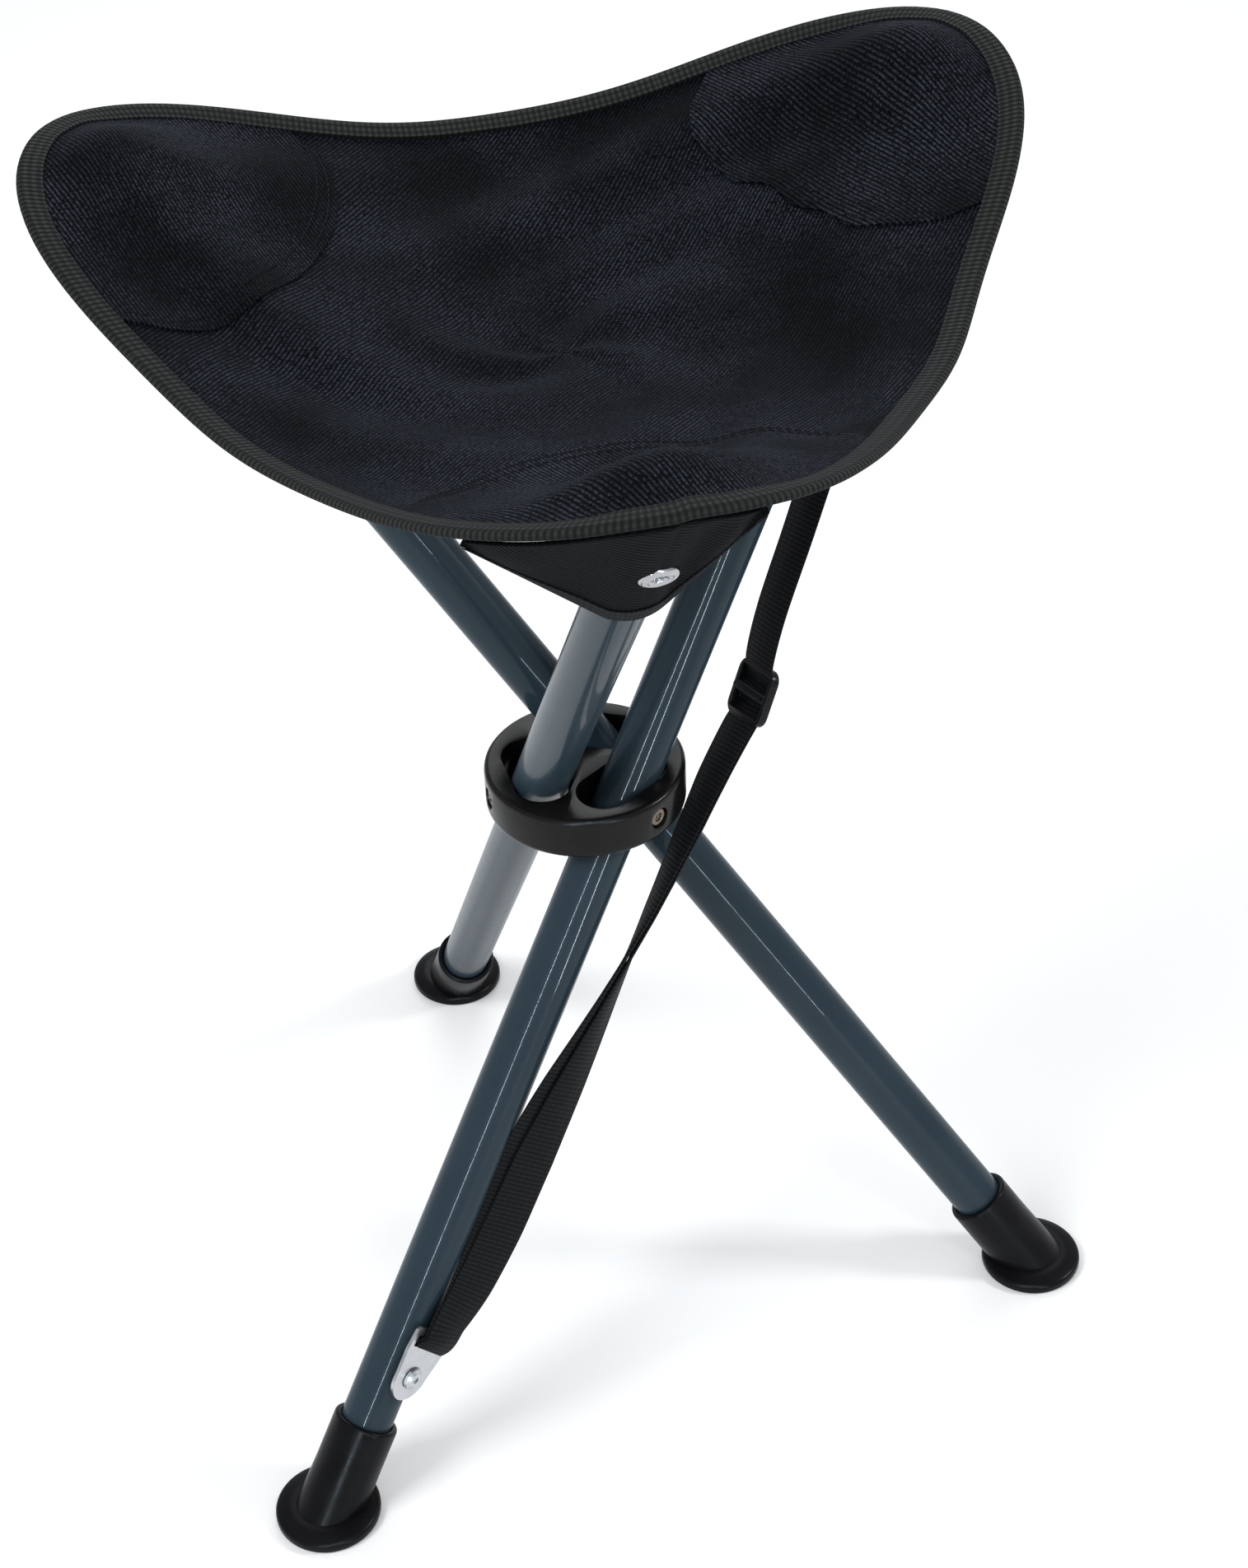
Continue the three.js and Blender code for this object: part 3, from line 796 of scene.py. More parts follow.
# ---- shoulder strap ------------------------------------------------------------------------
@dataclass
class Strap:
    """Webbing from the right pocket to the bracket, with its doubled run and slider."""

    width: float = 0.020
    thick: float = 0.0015
    # across, out and along the right leg, in metres, and the turn of the webbing's face in degrees
    route: tuple[tuple[float, float, float, float], ...] = (
        (0.0120, 0.0162, 0.243, -14), (0.0122, 0.0164, 0.220, -15), (0.0130, 0.0168, 0.190, -16),
        (0.0140, 0.0188, 0.155, -17), (0.0150, 0.0218, 0.122, -18), (0.0154, 0.0249, 0.092, -19),
        (0.0156, 0.0300, 0.070, -20), (0.0157, 0.0340, 0.057, -20), (0.0158, 0.0332, 0.042, -22),
        (0.0158, 0.0300, 0.018, -26), (0.0159, 0.0282, -0.008, -34), (0.0159, 0.0256, -0.042, -48),
        (0.0159, 0.0220, -0.080, -68), (0.0159, 0.0189, -0.118, -90), (0.0158, 0.0162, -0.154, -108),
        (0.0156, 0.0146, -0.186, -112), (0.0152, 0.0114, -0.212, -108), (0.0148, 0.0065, -0.230, -95),
        (0.0148, 0.0050, -0.238, -91), (0.0118, 0.0036, -0.2425, -90),
    )
    slider_at: float = 7 / 19
    length: float = 0.49
    steps: int = 300

    def frame_at(self, share: float, offset: float, aside: float = 0.0) -> Matrix:
        """Give the webbing's frame: X across it, Y along its face's normal, Z along it.

        Args:
            share: How far along the route, from 0 to 1.
            offset: How far off the route's face.
            aside: How far it lies to one side of the route.

        Returns:
            The frame in the leg's frame.
        """
        spots = [Vector(p[:3]) for p in self.route]
        at = min(max(share, 0.0), 0.99999) * (len(spots) - 1)
        i = int(at)
        t = at - i
        p1, p2 = spots[i], spots[i + 1]
        p0 = spots[i - 1] if i else p1 * 2 - p2
        p3 = spots[i + 2] if i + 2 < len(spots) else p2 * 2 - p1
        point = 0.5 * (2 * p1 + (p2 - p0) * t + (2 * p0 - 5 * p1 + 4 * p2 - p3) * t**2
                       + (3 * p1 - p0 - 3 * p2 + p3) * t**3)
        along = ((p2 - p0) + 2 * (2 * p0 - 5 * p1 + 4 * p2 - p3) * t
                 + 3 * (3 * p1 - p0 - 3 * p2 + p3) * t**2).normalized()
        turn = math.radians(self.route[i][3] * (1 - t) + self.route[i + 1][3] * t)
        flat = (Vector((1, 0, 0)) - along * along.x).normalized()
        face = flat.cross(along).normalized()
        edge = flat * math.cos(turn) + face * math.sin(turn)
        normal = edge.cross(along).normalized()
        result = Matrix((edge, normal, along)).transposed().to_4x4()
        result.translation = point + normal * offset + edge * aside
        return result

    def section(self) -> list[tuple[float, float]]:
        """Return the webbing's outline, with soft edges."""
        half, rise = self.width / 2, self.thick / 2
        soft = rise * 0.9
        return [(-half, 0), (-half + soft, -rise), (0, -rise * 1.05), (half - soft, -rise),
                (half, 0), (half - soft, rise), (0, rise * 1.05), (-half + soft, rise)]

    def woven(self, share: float) -> tuple[float, float]:
        """Give the long run's place off the route, where it weaves through the slider's windows.

        Args:
            share: How far along the route.

        Returns:
            The distances off the route's face and to its side.
        """
        far = (share - self.slider_at) * self.length
        over = 0.0037 * math.exp(-((far / 0.018) ** 2)) - 0.0063 * math.exp(-((far / 0.0042) ** 2))
        fan = math.exp(-(((share - 0.71) / 0.10) ** 2))
        return over - 0.0008 * fan, 0.0065 * fan

    def beside(self, share: float) -> tuple[float, float]:
        """Return the return run's place off the route, against the long run."""
        far = (share - self.slider_at) * self.length
        return self.thick + 0.0025 * math.exp(-((far / 0.018) ** 2)), 0.0

    def run(self, name: str, start: float, end: float, offset: Callable[[float], tuple[float, float]],
            leg: Matrix) -> tuple[bpy.types.Object, list[Vector]]:
        """Make one run of webbing.

        Args:
            name: The piece's name.
            start: Where it starts on the route.
            end: Where it ends.
            offset: Its distances off the route's face and to its side, at a share of the route.
            leg: The leg's frame.

        Returns:
            The piece, and the points of its middle line.
        """
        count = max(8, round(self.steps * abs(end - start)))
        shares = [start + (end - start) * i / count for i in range(count + 1)]
        frames = [leg @ self.frame_at(share, *offset(share)) for share in shares]
        piece = tube_section(name, frames, self.section())
        return piece, [f.translation.copy() for f in frames]

    def slider(self, leg: Matrix) -> bpy.types.Object:
        """Make the tri-glide from a rounded plate with two windows.

        Args:
            leg: The leg's frame.

        Returns:
            The slider.
        """
        deselect()
        bpy.ops.mesh.primitive_cube_add(size=1)
        plate = bpy.context.object
        plate.scale = (0.0245, 0.0036, 0.0240)
        bpy.ops.object.transform_apply(scale=True)
        select_edges(plate, lambda start, end: abs(start.y - end.y) > 0.001)
        bpy.ops.mesh.bevel(offset=0.005, segments=6, affect="EDGES")
        bpy.ops.object.mode_set(mode="OBJECT")
        for low, high in ((-0.0092, -0.0018), (0.0018, 0.0092)):
            deselect()
            bpy.ops.mesh.primitive_cube_add(size=1, location=(0, 0, (low + high) / 2))
            window = bpy.context.object
            window.scale = (0.0206, 0.02, high - low)
            bpy.ops.object.transform_apply(scale=True)
            combine(plate, window, "DIFFERENCE")
        apply_modifier(plate, "BEVEL", width=0.0009, segments=3, limit_method="ANGLE",
                       angle_limit=math.radians(40))
        return finish_piece(plate, "strap_triglide", leg @ self.frame_at(self.slider_at, 0.0, 0.0012))

    def build(self, stool: StoolFrame, finishes: Finishes) -> None:
        """Args:
            stool: The stool's frame.
            finishes: The materials.
        """
        leg = stool.leg(Corner.RIGHT)
        slider = self.slider(leg)
        dress(slider, finishes.slider)
        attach(slider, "slider")
        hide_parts("strap_slider")
        upper, line = self.run("strap_long_run", 0, 1, self.woven, leg)
        dress(upper, finishes.webbing)
        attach(upper, "leg_right")
        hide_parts("strap_upper")
        lower, doubled = self.run("strap_return_run", 1, self.slider_at + 0.02, self.beside, leg)
        dress(lower, finishes.webbing)
        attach(lower, "leg_right")
        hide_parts("strap_lower")
        for name in ("strap_bracket", "bracket_rivet"):
            dress(bpy.data.objects[name], finishes.steel)


# ---- hub ----------------------------------------------------------------------------------
@dataclass
class Hub:
    """The moulded ring that the legs pass through."""

    radius: float = 0.0406
    height: float = 0.0186
    edge: float = 0.0027
    slot_radius: float = 0.0116
    slot_reach: float = 0.0098
    pin_offset: float = 0.0202
    recess: float = 0.0033

    def slot_tool(self, stool: StoolFrame, corner: Corner) -> bpy.types.Object:
        """Make the body that cuts one leg's slot: a cylinder drawn out along Y.

        Args:
            stool: The stool's frame.
            corner: Which leg.

        Returns:
            The cutter.
        """
        deselect()
        bpy.ops.mesh.primitive_cylinder_add(vertices=64, radius=self.slot_radius, depth=self.height * 1.6,
                                            location=(0, 0, 0))
        tool = bpy.context.object
        for sign in (-1, 1):
            bpy.ops.object.mode_set(mode="EDIT")
            bpy.ops.mesh.select_mode(type="VERT")
            bpy.ops.mesh.select_all(action="DESELECT")
            bpy.ops.object.mode_set(mode="OBJECT")
            for vertex in tool.data.vertices:
                vertex.select = vertex.co.y * sign > 1e-5
            bpy.ops.object.mode_set(mode="EDIT")
            bpy.ops.transform.translate(value=(0, sign * self.slot_reach, 0))
            bpy.ops.object.mode_set(mode="OBJECT")
        tool.location = (self.pin_offset, 0, 0)
        bpy.ops.object.transform_apply(location=True)
        tool.matrix_world = Matrix.Rotation(stool.pin_turn(corner), 4, "Z")
        return tool

    def build(self, stool: StoolFrame, finishes: Finishes) -> None:
        """Make the ring and its pins.

        Args:
            stool: The stool's frame.
            finishes: The materials.
        """
        half = self.height / 2
        profile = rounded([(0, -half, 0), (self.radius, -half, self.edge), (self.radius, half, self.edge),
                           (0, half, 0)], 6)
        ring = turned(profile, 96)
        seat = self.radius - self.recess
        outer = self.radius + 0.004
        lying = Matrix.Rotation(math.pi / 2, 4, "Y")
        turns = {c: Matrix.Rotation(stool.pin_turn(c), 4, "Z") @ lying for c in Corner}
        for corner in Corner:
            combine(ring, self.slot_tool(stool, corner), "DIFFERENCE")
            recess = turned([(0, seat), (0.0046, seat), (0.0046, outer), (0, outer)], 32)
            recess.matrix_world = turns[corner]
            combine(ring, recess, "DIFFERENCE")
        apply_modifier(ring, "BEVEL", width=0.0006, segments=2, limit_method="ANGLE",
                       angle_limit=math.radians(50))
        finish_piece(ring, "pivot_hub", Matrix.Translation(stool.hub))
        dress(ring, finishes.hub)
        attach(ring, "hub")
        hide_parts("hub")
        outline = rounded([(0, 0.0046, 0), (0.0025, 0.0046, 0.0004), (0.0025, seat, 0),
                           (0.0041, seat, 0.0003), (0.0041, seat + 0.0024, 0.0010),
                           (0.0019, seat + 0.0026, 0.0003), (0.0016, seat + 0.0010, 0.0003),
                           (0, seat + 0.0010, 0)], 3)
        for corner in Corner:
            place = Matrix.Translation(stool.hub) @ turns[corner]
            pin = finish_piece(turned(outline, 32), f"hub_pin_{corner.value}", place)
            dress(pin, finishes.pin)
            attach(pin, "hub")
            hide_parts(f"pivot_pin_{corner.value}")
        LOG.info("hub and its pins")


# ---- legs ----------------------------------------------------------------------------------
@dataclass
class Leg:
    """One tube with its foot, cap and seat rivet."""

    corner: Corner
    radius: float = 0.011
    wall: float = 0.0012
    top: float = 0.3015
    bottom: float = -0.3135
    rim: float = -0.2825
    sleeve: float = 0.01375
    flange: float = 0.0219
    flange_height: float = 0.0055
    rivet_at: float = 0.270

    def tube(self, leg: Matrix) -> bpy.types.Object:
        """Make the tube, with a rolled edge at both ends.

        Args:
            leg: The leg's frame.

        Returns:
            The tube.
        """
        inner = self.radius - self.wall
        rolled = self.radius - 0.0003
        profile = [(inner, self.bottom), (rolled, self.bottom), (self.radius, self.bottom + 0.0003),
                   (self.radius, self.top - 0.0003), (rolled, self.top), (inner, self.top),
                   (inner, self.bottom)]
        return finish_piece(turned(profile, 64), f"tube_{self.corner.value}", leg)

    def foot(self, leg: Matrix, stool: StoolFrame) -> bpy.types.Object:
        """Make the rubber sleeve and its round flange, cut level with the ground.

        Args:
            leg: The leg's frame.
            stool: The stool's frame.

        Returns:
            The foot.
        """
        drop = stool.pivots[self.corner].z / math.cos(stool.tilt)
        low = -drop - 0.02
        bore = self.radius + 0.0003
        floor = self.bottom - 0.0004
        outline = rounded([(0, low, 0), (self.sleeve + 0.0012, low, 0),
                           (self.sleeve, self.rim - 0.022, 0.004), (self.sleeve, self.rim, 0.0016),
                           (bore, self.rim, 0.0005), (bore, floor, 0), (0, floor, 0)], 5)
        sleeve = finish_piece(turned(outline, 64), "sleeve", leg)
        choose(sleeve)
        bpy.ops.object.mode_set(mode="EDIT")
        bpy.ops.mesh.select_all(action="SELECT")
        bpy.ops.mesh.bisect(plane_co=(0, 0, 0.0004), plane_no=(0, 0, 1), use_fill=True, clear_inner=True)
        bpy.ops.object.mode_set(mode="OBJECT")
        middle = leg @ Vector((0, 0, -drop))
        top = self.flange_height
        disc = rounded([(0, 0, 0), (self.flange, 0, 0.0014), (self.flange, top - 0.0012, 0.0016),
                        (self.sleeve + 0.003, top + 0.0008, 0.002), (0, top + 0.0012, 0)], 5)
        flange = finish_piece(turned(disc, 80), "flange", Matrix.Translation((middle.x, middle.y, 0)))
        socket = turned([(0, floor), (bore, floor), (bore, self.rim), (0, self.rim)], 64)
        finish_piece(socket, "socket", leg)
        combine(flange, socket, "DIFFERENCE")
        combine(sleeve, flange, "UNION")
        return finish_piece(sleeve, f"rubber_foot_{self.corner.value}")

    def rivet(self, leg: Matrix) -> bpy.types.Object:
        """Make the domed rivet through the pocket.

        Args:
            leg: The leg's frame.

        Returns:
            The rivet.
        """
        seat = self.radius + 0.0036
        outline = rounded([(0, seat - 0.008, 0), (0.002, seat - 0.008, 0), (0.002, seat, 0),
                           (0.0070, seat - 0.0002, 0.0003), (0.0066, seat + 0.0018, 0.001),
                           (0.0040, seat + 0.0026, 0.001), (0.0024, seat + 0.0018, 0.0005),
                           (0.0022, seat + 0.0004, 0.0003), (0, seat + 0.0004, 0)], 5)
        side = Matrix.Translation((0, 0, self.rivet_at)) @ Matrix.Rotation(-math.pi / 2, 4, "X")
        return finish_piece(turned(outline, 48), f"seat_rivet_{self.corner.value}", leg @ side)

    def build(self, stool: StoolFrame, finishes: Finishes) -> None:
        """Make, dress and place the leg's pieces.

        Args:
            stool: The stool's frame.
            finishes: The materials.
        """
        name = self.corner.value
        leg = stool.leg(self.corner)
        pieces = (
            (self.tube(leg), finishes.tube, "tube_paint", f"leg_tube_{name}"),
            (self.foot(leg, stool), finishes.rubber, "foot_rubber", f"foot_{name}"),
            (self.rivet(leg), finishes.rivet, "steel", f"corner_rivet_{name}"),
        )
        for piece, material, slot, node in pieces:
            dress(piece, material)
            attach(piece, f"leg_{name}")
            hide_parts(node)
        dress(bpy.data.objects[f"leg_cap_{name}"], finishes.cap)
        LOG.info("leg %s", name)


# ---- seat ----------------------------------------------------------------------------------
@dataclass
class Seat:
    """Sling cloth with patches, binding, stitching and pockets."""

    stool: StoolFrame
    centre: float = 0.458
    cloth: float = 0.0012
    binding_width: float = 0.0095
    binding_half: float = 0.0017
    patch_radius: float = 0.095
    patch_centre: float = 0.190
    corner_lead: float = math.radians(83.7)
    fold_reach: float = 0.066
    pocket_left: float = math.radians(19.6)
    pocket_right: float = math.radians(7.8)
    sectors: int = 26
    rings: int = 44

    def from_corner(self, turn: float) -> tuple[float, float]:
        """Give the angle from the nearest corner, and from the front corner.

        Args:
            turn: The direction round the hub.

        Returns:
            Both angles.
        """
        first = self.stool.pin_turn(Corner.FRONT) + self.corner_lead
        whole = (turn - first) % (2 * math.pi)
        near = whole % THIRD_TURN
        return (near - THIRD_TURN if near > THIRD_TURN / 2 else near), whole

    def edge(self, turn: float) -> tuple[float, float]:
        """Give the rim's radius and height.

        Args:
            turn: The direction round the hub.

        Returns:
            The radius from the hub's axis and the height.
        """
        near, whole = self.from_corner(turn)
        radius = 0.1706 + 0.0301 * math.cos(3 * near) + 0.0049 * math.cos(6 * near)
        height = 0.4971 + 0.0180 * math.cos(3 * near) + 0.0024 * math.cos(6 * near)
        radius += 0.0015 * math.cos(2 * whole)
        # the rim is a little fuller beside the front corner and along the right side
        for middle, width, rise in ((340, 18, 0.0042), (55, 14, 0.0012)):
            radius += rise * math.exp(-(((math.degrees(whole) - middle) / width) ** 2))
        height += -0.0035 * math.cos(whole) + 0.0036 * math.sin(whole)
        height -= 0.0012 * math.sin(3 * (whole - math.pi)) * math.exp(-((whole - math.pi) ** 2))
        return radius, height

    def surface(self, turn: float, radius: float, lift: float = 0.0) -> Vector:
        """Give a point of the cloth's top face.

        Args:
            turn: The direction round the hub.
            radius: The distance from the hub's axis.
            lift: A height above the face.

        Returns:
            The point.
        """
        near, whole = self.from_corner(turn)
        rim, rim_height = self.edge(turn)
        share = radius / rim
        dish = self.centre + (rim_height - self.centre) * share**1.6
        side = radius * math.sin(near) / 0.034
        reach = 0.15 if share < 0.85 else 0.09
        crown = 0.0172 * math.exp(-(((share - 0.85) / reach) ** 2) - side**2)
        # soft folds run out from each leg's top
        away = Vector((radius * math.cos(near) - 0.178, radius * math.sin(near)))
        spread = math.atan2(away.y, -away.x)
        far = away.length
        clear = (far / 0.03) ** 2
        fold = 0.0017 * math.sin(7 * spread + 1.3 * math.sin(whole)) * clear / (1 + clear)
        fold *= math.exp(-far / 0.075) * min(1.0, (1 - min(share, 1.0)) * 8)
        middle = share * (1 - share) * 4
        swell = 0.0017 * math.sin(5 * whole + 18 * share) * middle
        swell += 0.0026 * math.sin(3 * whole + 7 * share + 0.8) * math.sin(2 * whole + 2.1) * middle
        inset = (rim - radius - 0.019) / 0.004
        beside = (whole - math.radians(58)) / 0.5
        ridge = 0.0011 * math.exp(-(inset**2)) * math.exp(-(beside**2))
        base = self.stool.axis_foot
        return Vector((base.x + radius * math.cos(turn), base.y + radius * math.sin(turn),
                       dish + crown + fold + swell + ridge + lift))

    def normal(self, turn: float, radius: float) -> Vector:
        """Give the face's upward normal at a place.

        Args:
            turn: The direction round the hub.
            radius: The distance from the hub's axis.

        Returns:
            The unit normal.
        """
        step = 0.0008
        radius = max(radius, 0.004)
        inward = self.surface(turn, radius - step)
        outward = self.surface(turn, radius + step)
        before = self.surface(turn - step / radius, radius)
        after = self.surface(turn + step / radius, radius)
        return (outward - inward).cross(after - before).normalized()

    def start_of(self, corner: Corner, side: Side) -> float:
        """Return the direction where a sector of cloth starts."""
        return self.stool.pin_turn(corner) + side.value * THIRD_TURN / 2

    def bend(self, piece: bpy.types.Object, corner: Corner, side: Side) -> None:
        """Bake a piece of cloth's place into its mesh.

        Args:
            piece: The cloth.
            corner: The leg at its corner.
            side: Which half of the corner's cloth it is.
        """
        lead = math.pi / 2 if side is Side.LEADING else math.pi / 6
        turn = self.stool.pin_turn(corner) + lead
        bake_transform(piece)

    def sheet(self, piece: bpy.types.Object, length: float, held: str = "stretched") -> None:
        """Leave a piece of cloth as it is; nothing is done with it.

        Args:
            piece: The cloth, as a closed thin body; not used.
            length: The longer side of its cut; not used.
            held: How it is held; not used.
        """

    def smooth_as(self, piece: bpy.types.Object) -> None:
        """Shade a sector's cloth with the whole seat's normals, so that no seam shows.

        Args:
            piece: The cloth.
        """
        base = self.stool.axis_foot
        mesh = piece.data
        own = [tuple(n.vector) for n in mesh.vertex_normals]
        normals = []
        for vertex, plain in zip(mesh.vertices, own):
            spot = vertex.co - base
            radius = math.hypot(spot.x, spot.y)
            whole = self.normal(math.atan2(spot.y, spot.x), radius)
            if abs(plain[2]) > 0.35 * abs(whole.z):
                normals.append(tuple(whole if plain[2] > 0 else -whole))
            else:
                normals.append(plain)
        mesh.normals_split_custom_set_from_vertices(normals)

    def panel(self, corner: Corner, side: Side) -> bpy.types.Object:
        """Make one sector of the seat's cloth, as a thin closed body.

        Args:
            corner: The leg that it follows.
            side: Which half of the corner's cloth.

        Returns:
            The cloth.
        """
        start = self.start_of(corner, side)
        turns = [start + THIRD_TURN / 2 * j / self.sectors for j in range(self.sectors + 1)]
        rings = [i / self.rings for i in range(self.rings + 1)]
        rows = []
        maps = []
        for ring in rings:
            reach = [ring * (self.edge(turn)[0] - 0.002) for turn in turns]
            rows.append([self.surface(turn, r) for turn, r in zip(turns, reach)])
            maps.append([(r * math.cos(turn), r * math.sin(turn)) for turn, r in zip(turns, reach)])
        name = f"seat_cloth_{corner.value}_{side.name.lower()}"
        return self.layer(name, rows, maps, 0.0, -self.cloth)

    def layer(self, name: str, rows: list[list[Vector]], maps: list[list[tuple[float, float]]],
              high: float, low: float) -> bpy.types.Object:
        """Make a thin closed body from one face's points.

        Args:
            name: The piece's name.
            rows: The face's points.
            maps: Their places on the flat cloth.
            high: The upper face's height over the points.
            low: The lower face's height.

        Returns:
            The body.
        """
        columns = len(rows[0])
        size = len(rows) * columns
        points = [p + UP * high for row in rows for p in row] + [p + UP * low for row in rows for p in row]
        faces = []
        for i in range(len(rows) - 1):
            for j in range(columns - 1):
                a, b = i * columns + j, i * columns + j + 1
                c, d = b + columns, a + columns
                faces.append((a, d, c, b))
                faces.append((size + a, size + b, size + c, size + d))
        last = size - columns
        rim = ([(j, j + 1) for j in range(columns - 1)]
               + [(i * columns + columns - 1, (i + 1) * columns + columns - 1) for i in range(len(rows) - 1)]
               + [(last + j + 1, last + j) for j in range(columns - 1)]
               + [((i + 1) * columns, i * columns) for i in range(len(rows) - 1)])
        faces += [(a, b, size + b, size + a) for a, b in rim]
        piece = mesh_object(name, points, faces)
        map_corners(piece, [spot for row in maps for spot in row] * 2)
        face_outward(piece, merge=1e-6)
        bpy.ops.object.shade_smooth_by_angle(angle=math.radians(60))
        return piece

    def patch_edge(self, corner: Corner, across: float) -> float:
        """Give the inner edge of a patch, as a distance from the hub's axis.

        Args:
            corner: Which corner.
            across: The angle from the corner's middle.

        Returns:
            The radius where the patch starts.
        """
        along = self.patch_centre * math.cos(across)
        offset = self.patch_centre * math.sin(across)
        radius = along - math.sqrt(max(self.patch_radius**2 - offset**2, 0.0))
        depth = {Corner.FRONT: -0.003, Corner.RIGHT: 0.012, Corner.LEFT: 0.005}[corner]
        radius += depth * max(0.0, 1 - (across / 0.45) ** 2)
        if corner is Corner.RIGHT:
            radius += 0.0016 * math.sin(22 * across)
        return radius

    def patch(self, corner: Corner) -> bpy.types.Object:
        """Make one corner's extra cloth.

        Args:
            corner: Which corner.

        Returns:
            The patch.
        """
        middle = self.stool.pin_turn(corner) + self.corner_lead
        limit = self.patch_limit()
        columns = 64
        rows = []
        maps = []
        for i in range(33):
            row = []
            flat = []
            for j in range(columns + 1):
                across = limit * math.sin(math.pi / 2 * (2 * j / columns - 1))
                near = self.patch_edge(corner, across)
                far = self.edge(middle + across)[0] - 0.004
                radius = near + (far - near) * i / 32
                row.append(self.surface(middle + across, radius))
                flat.append((radius * math.cos(across), radius * math.sin(across)))
            rows.append(row)
            maps.append(flat)
        return self.layer(f"seat_patch_{corner.value}", rows, maps, 0.0011, 0.0002)

    def patch_limit(self) -> float:
        """Return the angle from a corner's middle at which its patch meets the rim."""
        angle = 0.2
        turn = self.stool.pin_turn(Corner.FRONT) + self.corner_lead
        while angle < 0.5:
            reach = self.edge(turn + angle)[0] - 0.012
            gap = math.hypot(reach * math.cos(angle) - self.patch_centre, reach * math.sin(angle))
            if gap > self.patch_radius:
                break
            angle += 0.002
        return min(angle, 0.497)

    def stitches(self, corner: Corner) -> bpy.types.Object:
        """Make the two rows of thread along a patch's inner edge.

        Args:
            corner: Which corner.

        Returns:
            The thread.
        """
        middle = self.stool.pin_turn(corner) + self.corner_lead
        limit = self.patch_limit() * 0.985
        pitch = 0.0032
        points = []
        faces = []
        for inset in (0.0032, 0.0082):
            across = -limit
            while across < limit:
                radius = self.patch_edge(corner, across) + inset / max(math.cos(across * 1.6), 0.5)
                following = across + 0.001
                ahead = self.patch_edge(corner, following) + inset / max(math.cos(following * 1.6), 0.5)
                here = self.surface(middle + across, radius, 0.00135)
                along = self.surface(middle + following, ahead, 0.00135) - here
                advance = 0.001 * pitch / along.length
                along.normalize()
                up = self.normal(middle + across, radius)
                side = along.cross(up).normalized()
                start = len(points)
                outline = ((-0.42, 0.3, -0.1), (-0.25, 1.0, 1.0), (0.25, 1.0, 1.0), (0.42, 0.3, -0.1))
                for t, wide, rise in outline:
                    spot = here + along * pitch * t
                    points += [spot + side * 0.00034 * wide - up * 0.0003, spot + up * 0.00036 * rise,
                               spot - side * 0.00034 * wide - up * 0.0003]
                for i in range(3):
                    for j in range(3):
                        a, b = start + 3 * i + j, start + 3 * i + (j + 1) % 3
                        faces.append((a, b, b + 3, a + 3))
                faces += [(start + 2, start + 1, start), (start + 9, start + 10, start + 11)]
                across += advance
        piece = mesh_object("thread", points, faces)
        piece.data.uv_layers.new(name="cloth")
        face_outward(piece)
        return finish_piece(piece, f"patch_stitching_{corner.value}")

    def binding(self, corner: Corner, side: Side) -> bpy.types.Object:
        """Make one sector of the tape folded over the rim.

        Args:
            corner: The leg that it follows.
            side: Which half of the corner's cloth.

        Returns:
            The tape.
        """
        start = self.start_of(corner, side)
        count = 44
        frames = []
        for j in range(count + 1):
            turn = start + THIRD_TURN / 2 * j / count
            rim = self.edge(turn)[0]
            here = self.surface(turn, rim)
            step = 0.002
            before, after = (self.surface(t, self.edge(t)[0]) for t in (turn - step, turn + step))
            along = (after - before).normalized()
            up = self.normal(turn, rim - 0.006)
            outward = along.cross(up).normalized()
            up = outward.cross(along).normalized()
            place = Matrix((outward, up, along)).transposed().to_4x4()
            place.translation = here + up * 0.0002
            frames.append(place)
        width, half = self.binding_width, self.binding_half
        section = [(-width, -half * 0.75), (-width * 0.5, -half), (-0.0016, -half),
                   (-0.0004, -half * 0.6), (0, 0), (-0.0004, half * 0.6), (-0.0016, half),
                   (-width * 0.5, half), (-width, half * 0.85)]
        return tube_section(f"rim_tape_{corner.value}_{side.name.lower()}", frames, section)

    def pocket(self, corner: Corner) -> tuple[bpy.types.Object, bpy.types.Object]:
        """Make the pocket under a corner, and its hem.

        Args:
            corner: Which corner.

        Returns:
            The pocket and the hem.
        """
        leg = self.stool.leg(corner)
        inverse = leg.inverted()
        middle = self.stool.pin_turn(corner) + self.corner_lead
        hem_at = 0.229
        girth = 0.0117
        flat = 0.26

        def upper(p: float) -> Vector:
            """Return a point of the sewn upper edge."""
            turn = middle + p * (self.pocket_right if p > 0 else self.pocket_left)
            return inverse @ self.surface(turn, self.edge(turn)[0] - 0.0048, -0.0026)

        def lower(p: float) -> Vector:
            """Return a point of the hem."""
            share = min(1.0, abs(p) / flat)
            side = math.copysign(1, p)
            hem = Vector((-side * share * 0.010, girth + 0.0006 - 0.0026 * share * share, hem_at))
            if share < 1:
                return hem
            return hem.lerp(upper(side) + Vector((0, 0.0010, -0.0012)), (abs(p) - flat) / (1 - flat))

        def point(p: float, q: float, out: float) -> Vector:
            """Return a point of the pocket, at a distance outwards."""
            spot = upper(p).lerp(lower(p), q)
            spot.y += out + 0.0012 * math.sin(9 * p + 2) * math.sin(math.pi * q) * min(abs(p) * 2.5, 1)
            return leg @ spot

        columns = [2 * j / 56 - 1 for j in range(57)]
        made = []
        parts = (("pocket", 0.0, 1.0, 0.0, 0.0012), ("hem", 0.90, 1.006, 0.0013, 0.0005))
        for name, start, end, out, thick in parts:
            rows = [[point(p, start + (end - start) * i / 24, out + thick) for p in columns]
                    for i in range(25)]
            maps = [[(p * 0.05, i * 0.004) for p in columns] for i in range(25)]
            piece = self.shell(f"seat_{name}_{corner.value}", rows, maps, leg, thick)
            made.append(piece)
        return made[0], made[1]

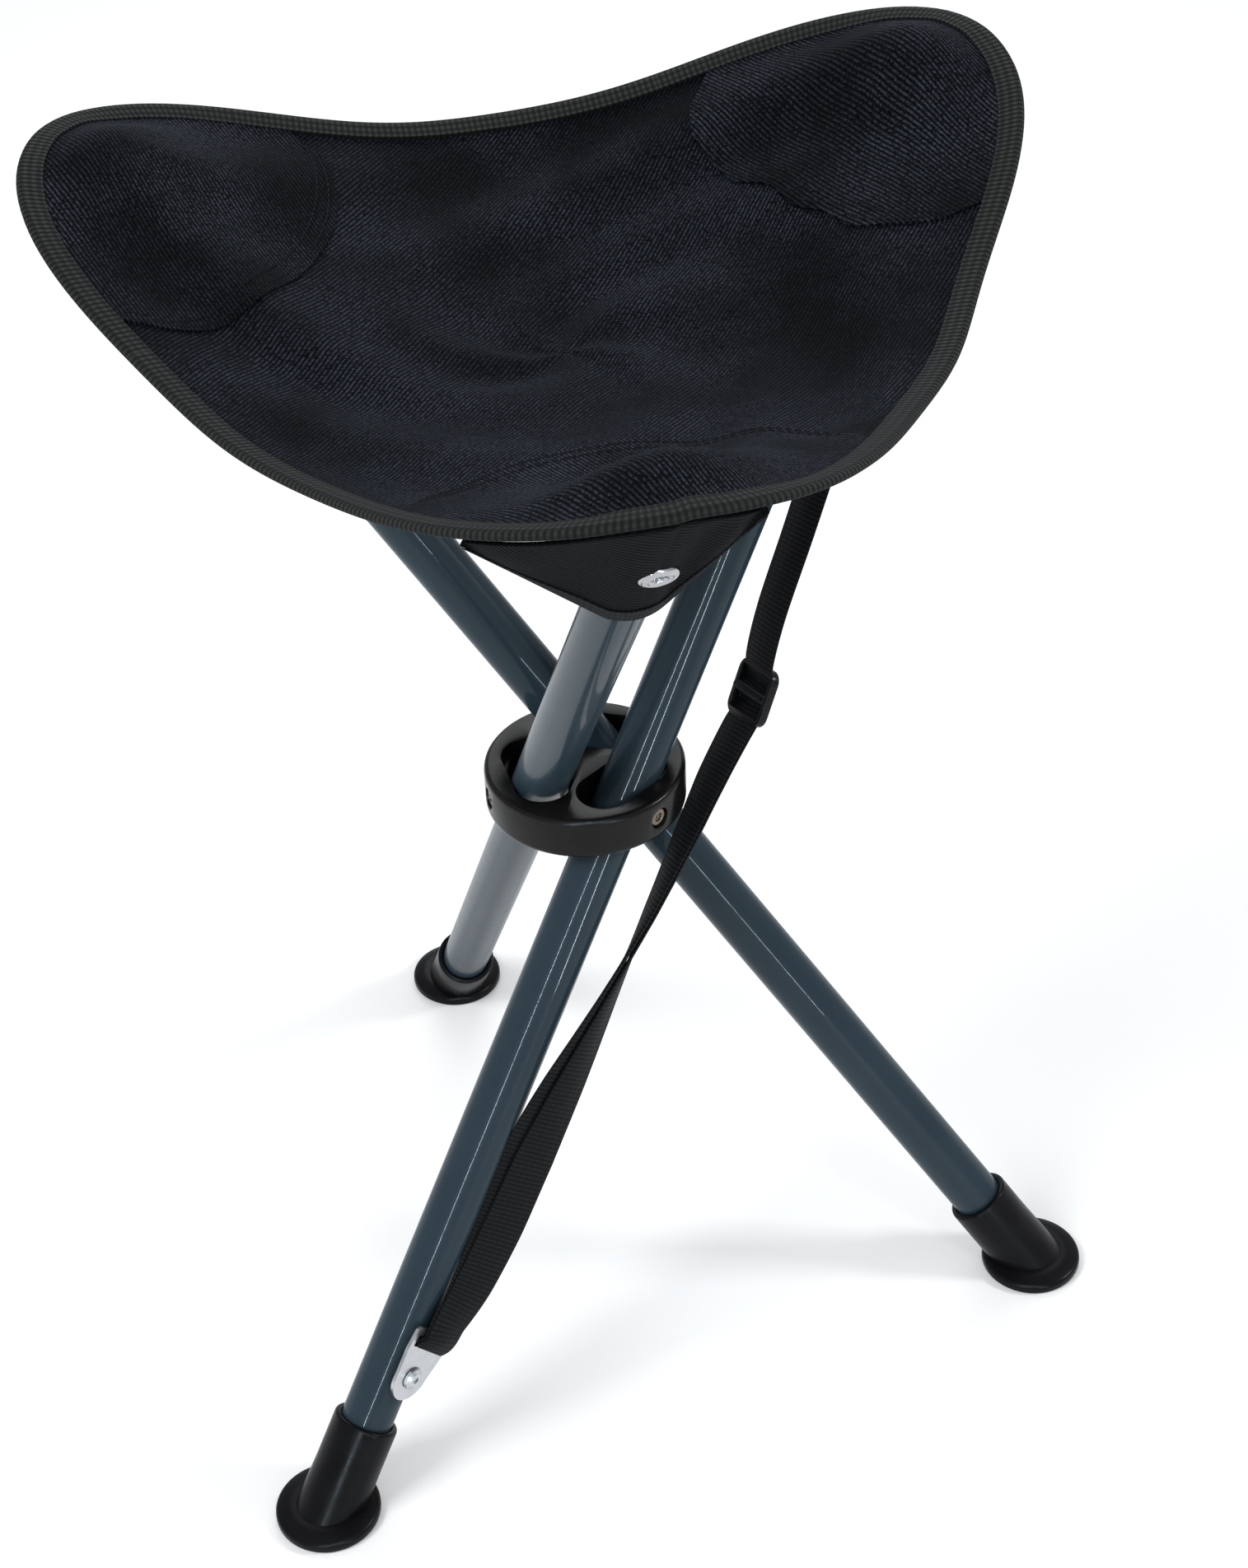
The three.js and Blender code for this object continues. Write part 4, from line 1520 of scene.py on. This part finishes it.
    def shell(self, name: str, rows: list[list[Vector]], maps: list[list[tuple[float, float]]],
              leg: Matrix, thick: float) -> bpy.types.Object:
        """Make a sheet and give it thickness towards the leg.

        Args:
            name: The piece's name.
            rows: The outer face's points.
            maps: Their places on the flat cloth.
            leg: The leg's frame.
            thick: The cloth's thickness.

        Returns:
            The closed cloth.
        """
        piece = grid_mesh(name, rows, maps)
        outward = leg.to_3x3() @ Vector((0, 1, 0))
        face = piece.data.polygons[len(piece.data.polygons) // 2 + 28]
        if face.normal.dot(outward) < 0:
            piece.data.flip_normals()
        apply_modifier(piece, "SOLIDIFY", thickness=thick, offset=-1)
        return piece

    def build(self, finishes: Finishes) -> None:
        """Make and dress all the seat's cloth.

        Args:
            finishes: The materials.
        """
        for corner in Corner:
            for side in Side:
                cloth = self.panel(corner, side)
                self.smooth_as(cloth)
                dress(cloth, finishes.seat)
                self.sheet(cloth, 0.2)
                self.bend(cloth, corner, side)
                tape = self.binding(corner, side)
                dress(tape, finishes.binding)
                self.bend(tape, corner, side)
                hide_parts("seat_panel")
                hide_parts("edge_binding")
            patch = self.patch(corner)
            dress(patch, finishes.patch)
            self.sheet(patch, 0.16)
            thread = self.stitches(corner)
            dress(thread, finishes.thread)
            for piece in (patch, thread):
                self.bend(piece, corner, Side.TRAILING)
            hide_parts(f"corner_patch_{corner.value}")
            pocket, hem = self.pocket(corner)
            for piece in (pocket, hem):
                dress(piece, finishes.pocket if piece is pocket else finishes.webbing)
                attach(piece, f"leg_{corner.value}")
            self.sheet(pocket, 0.11)
            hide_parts(f"corner_pocket_{corner.value}")
            LOG.info("seat corner %s", corner.value)


def main() -> None:
    """Build the stool's pieces in order."""
    logging.basicConfig(level=logging.INFO, format="%(message)s")
    stool = StoolFrame()
    studio = Studio()
    studio.camera(stool)
    finishes = Finishes()
    Strap().build(stool, finishes)
    Hub().build(stool, finishes)
    for corner in Corner:
        Leg(corner).build(stool, finishes)
    Seat(stool).build(finishes)
    studio.floor()
    studio.lights(stool)


if __name__ == "__main__":
    main()
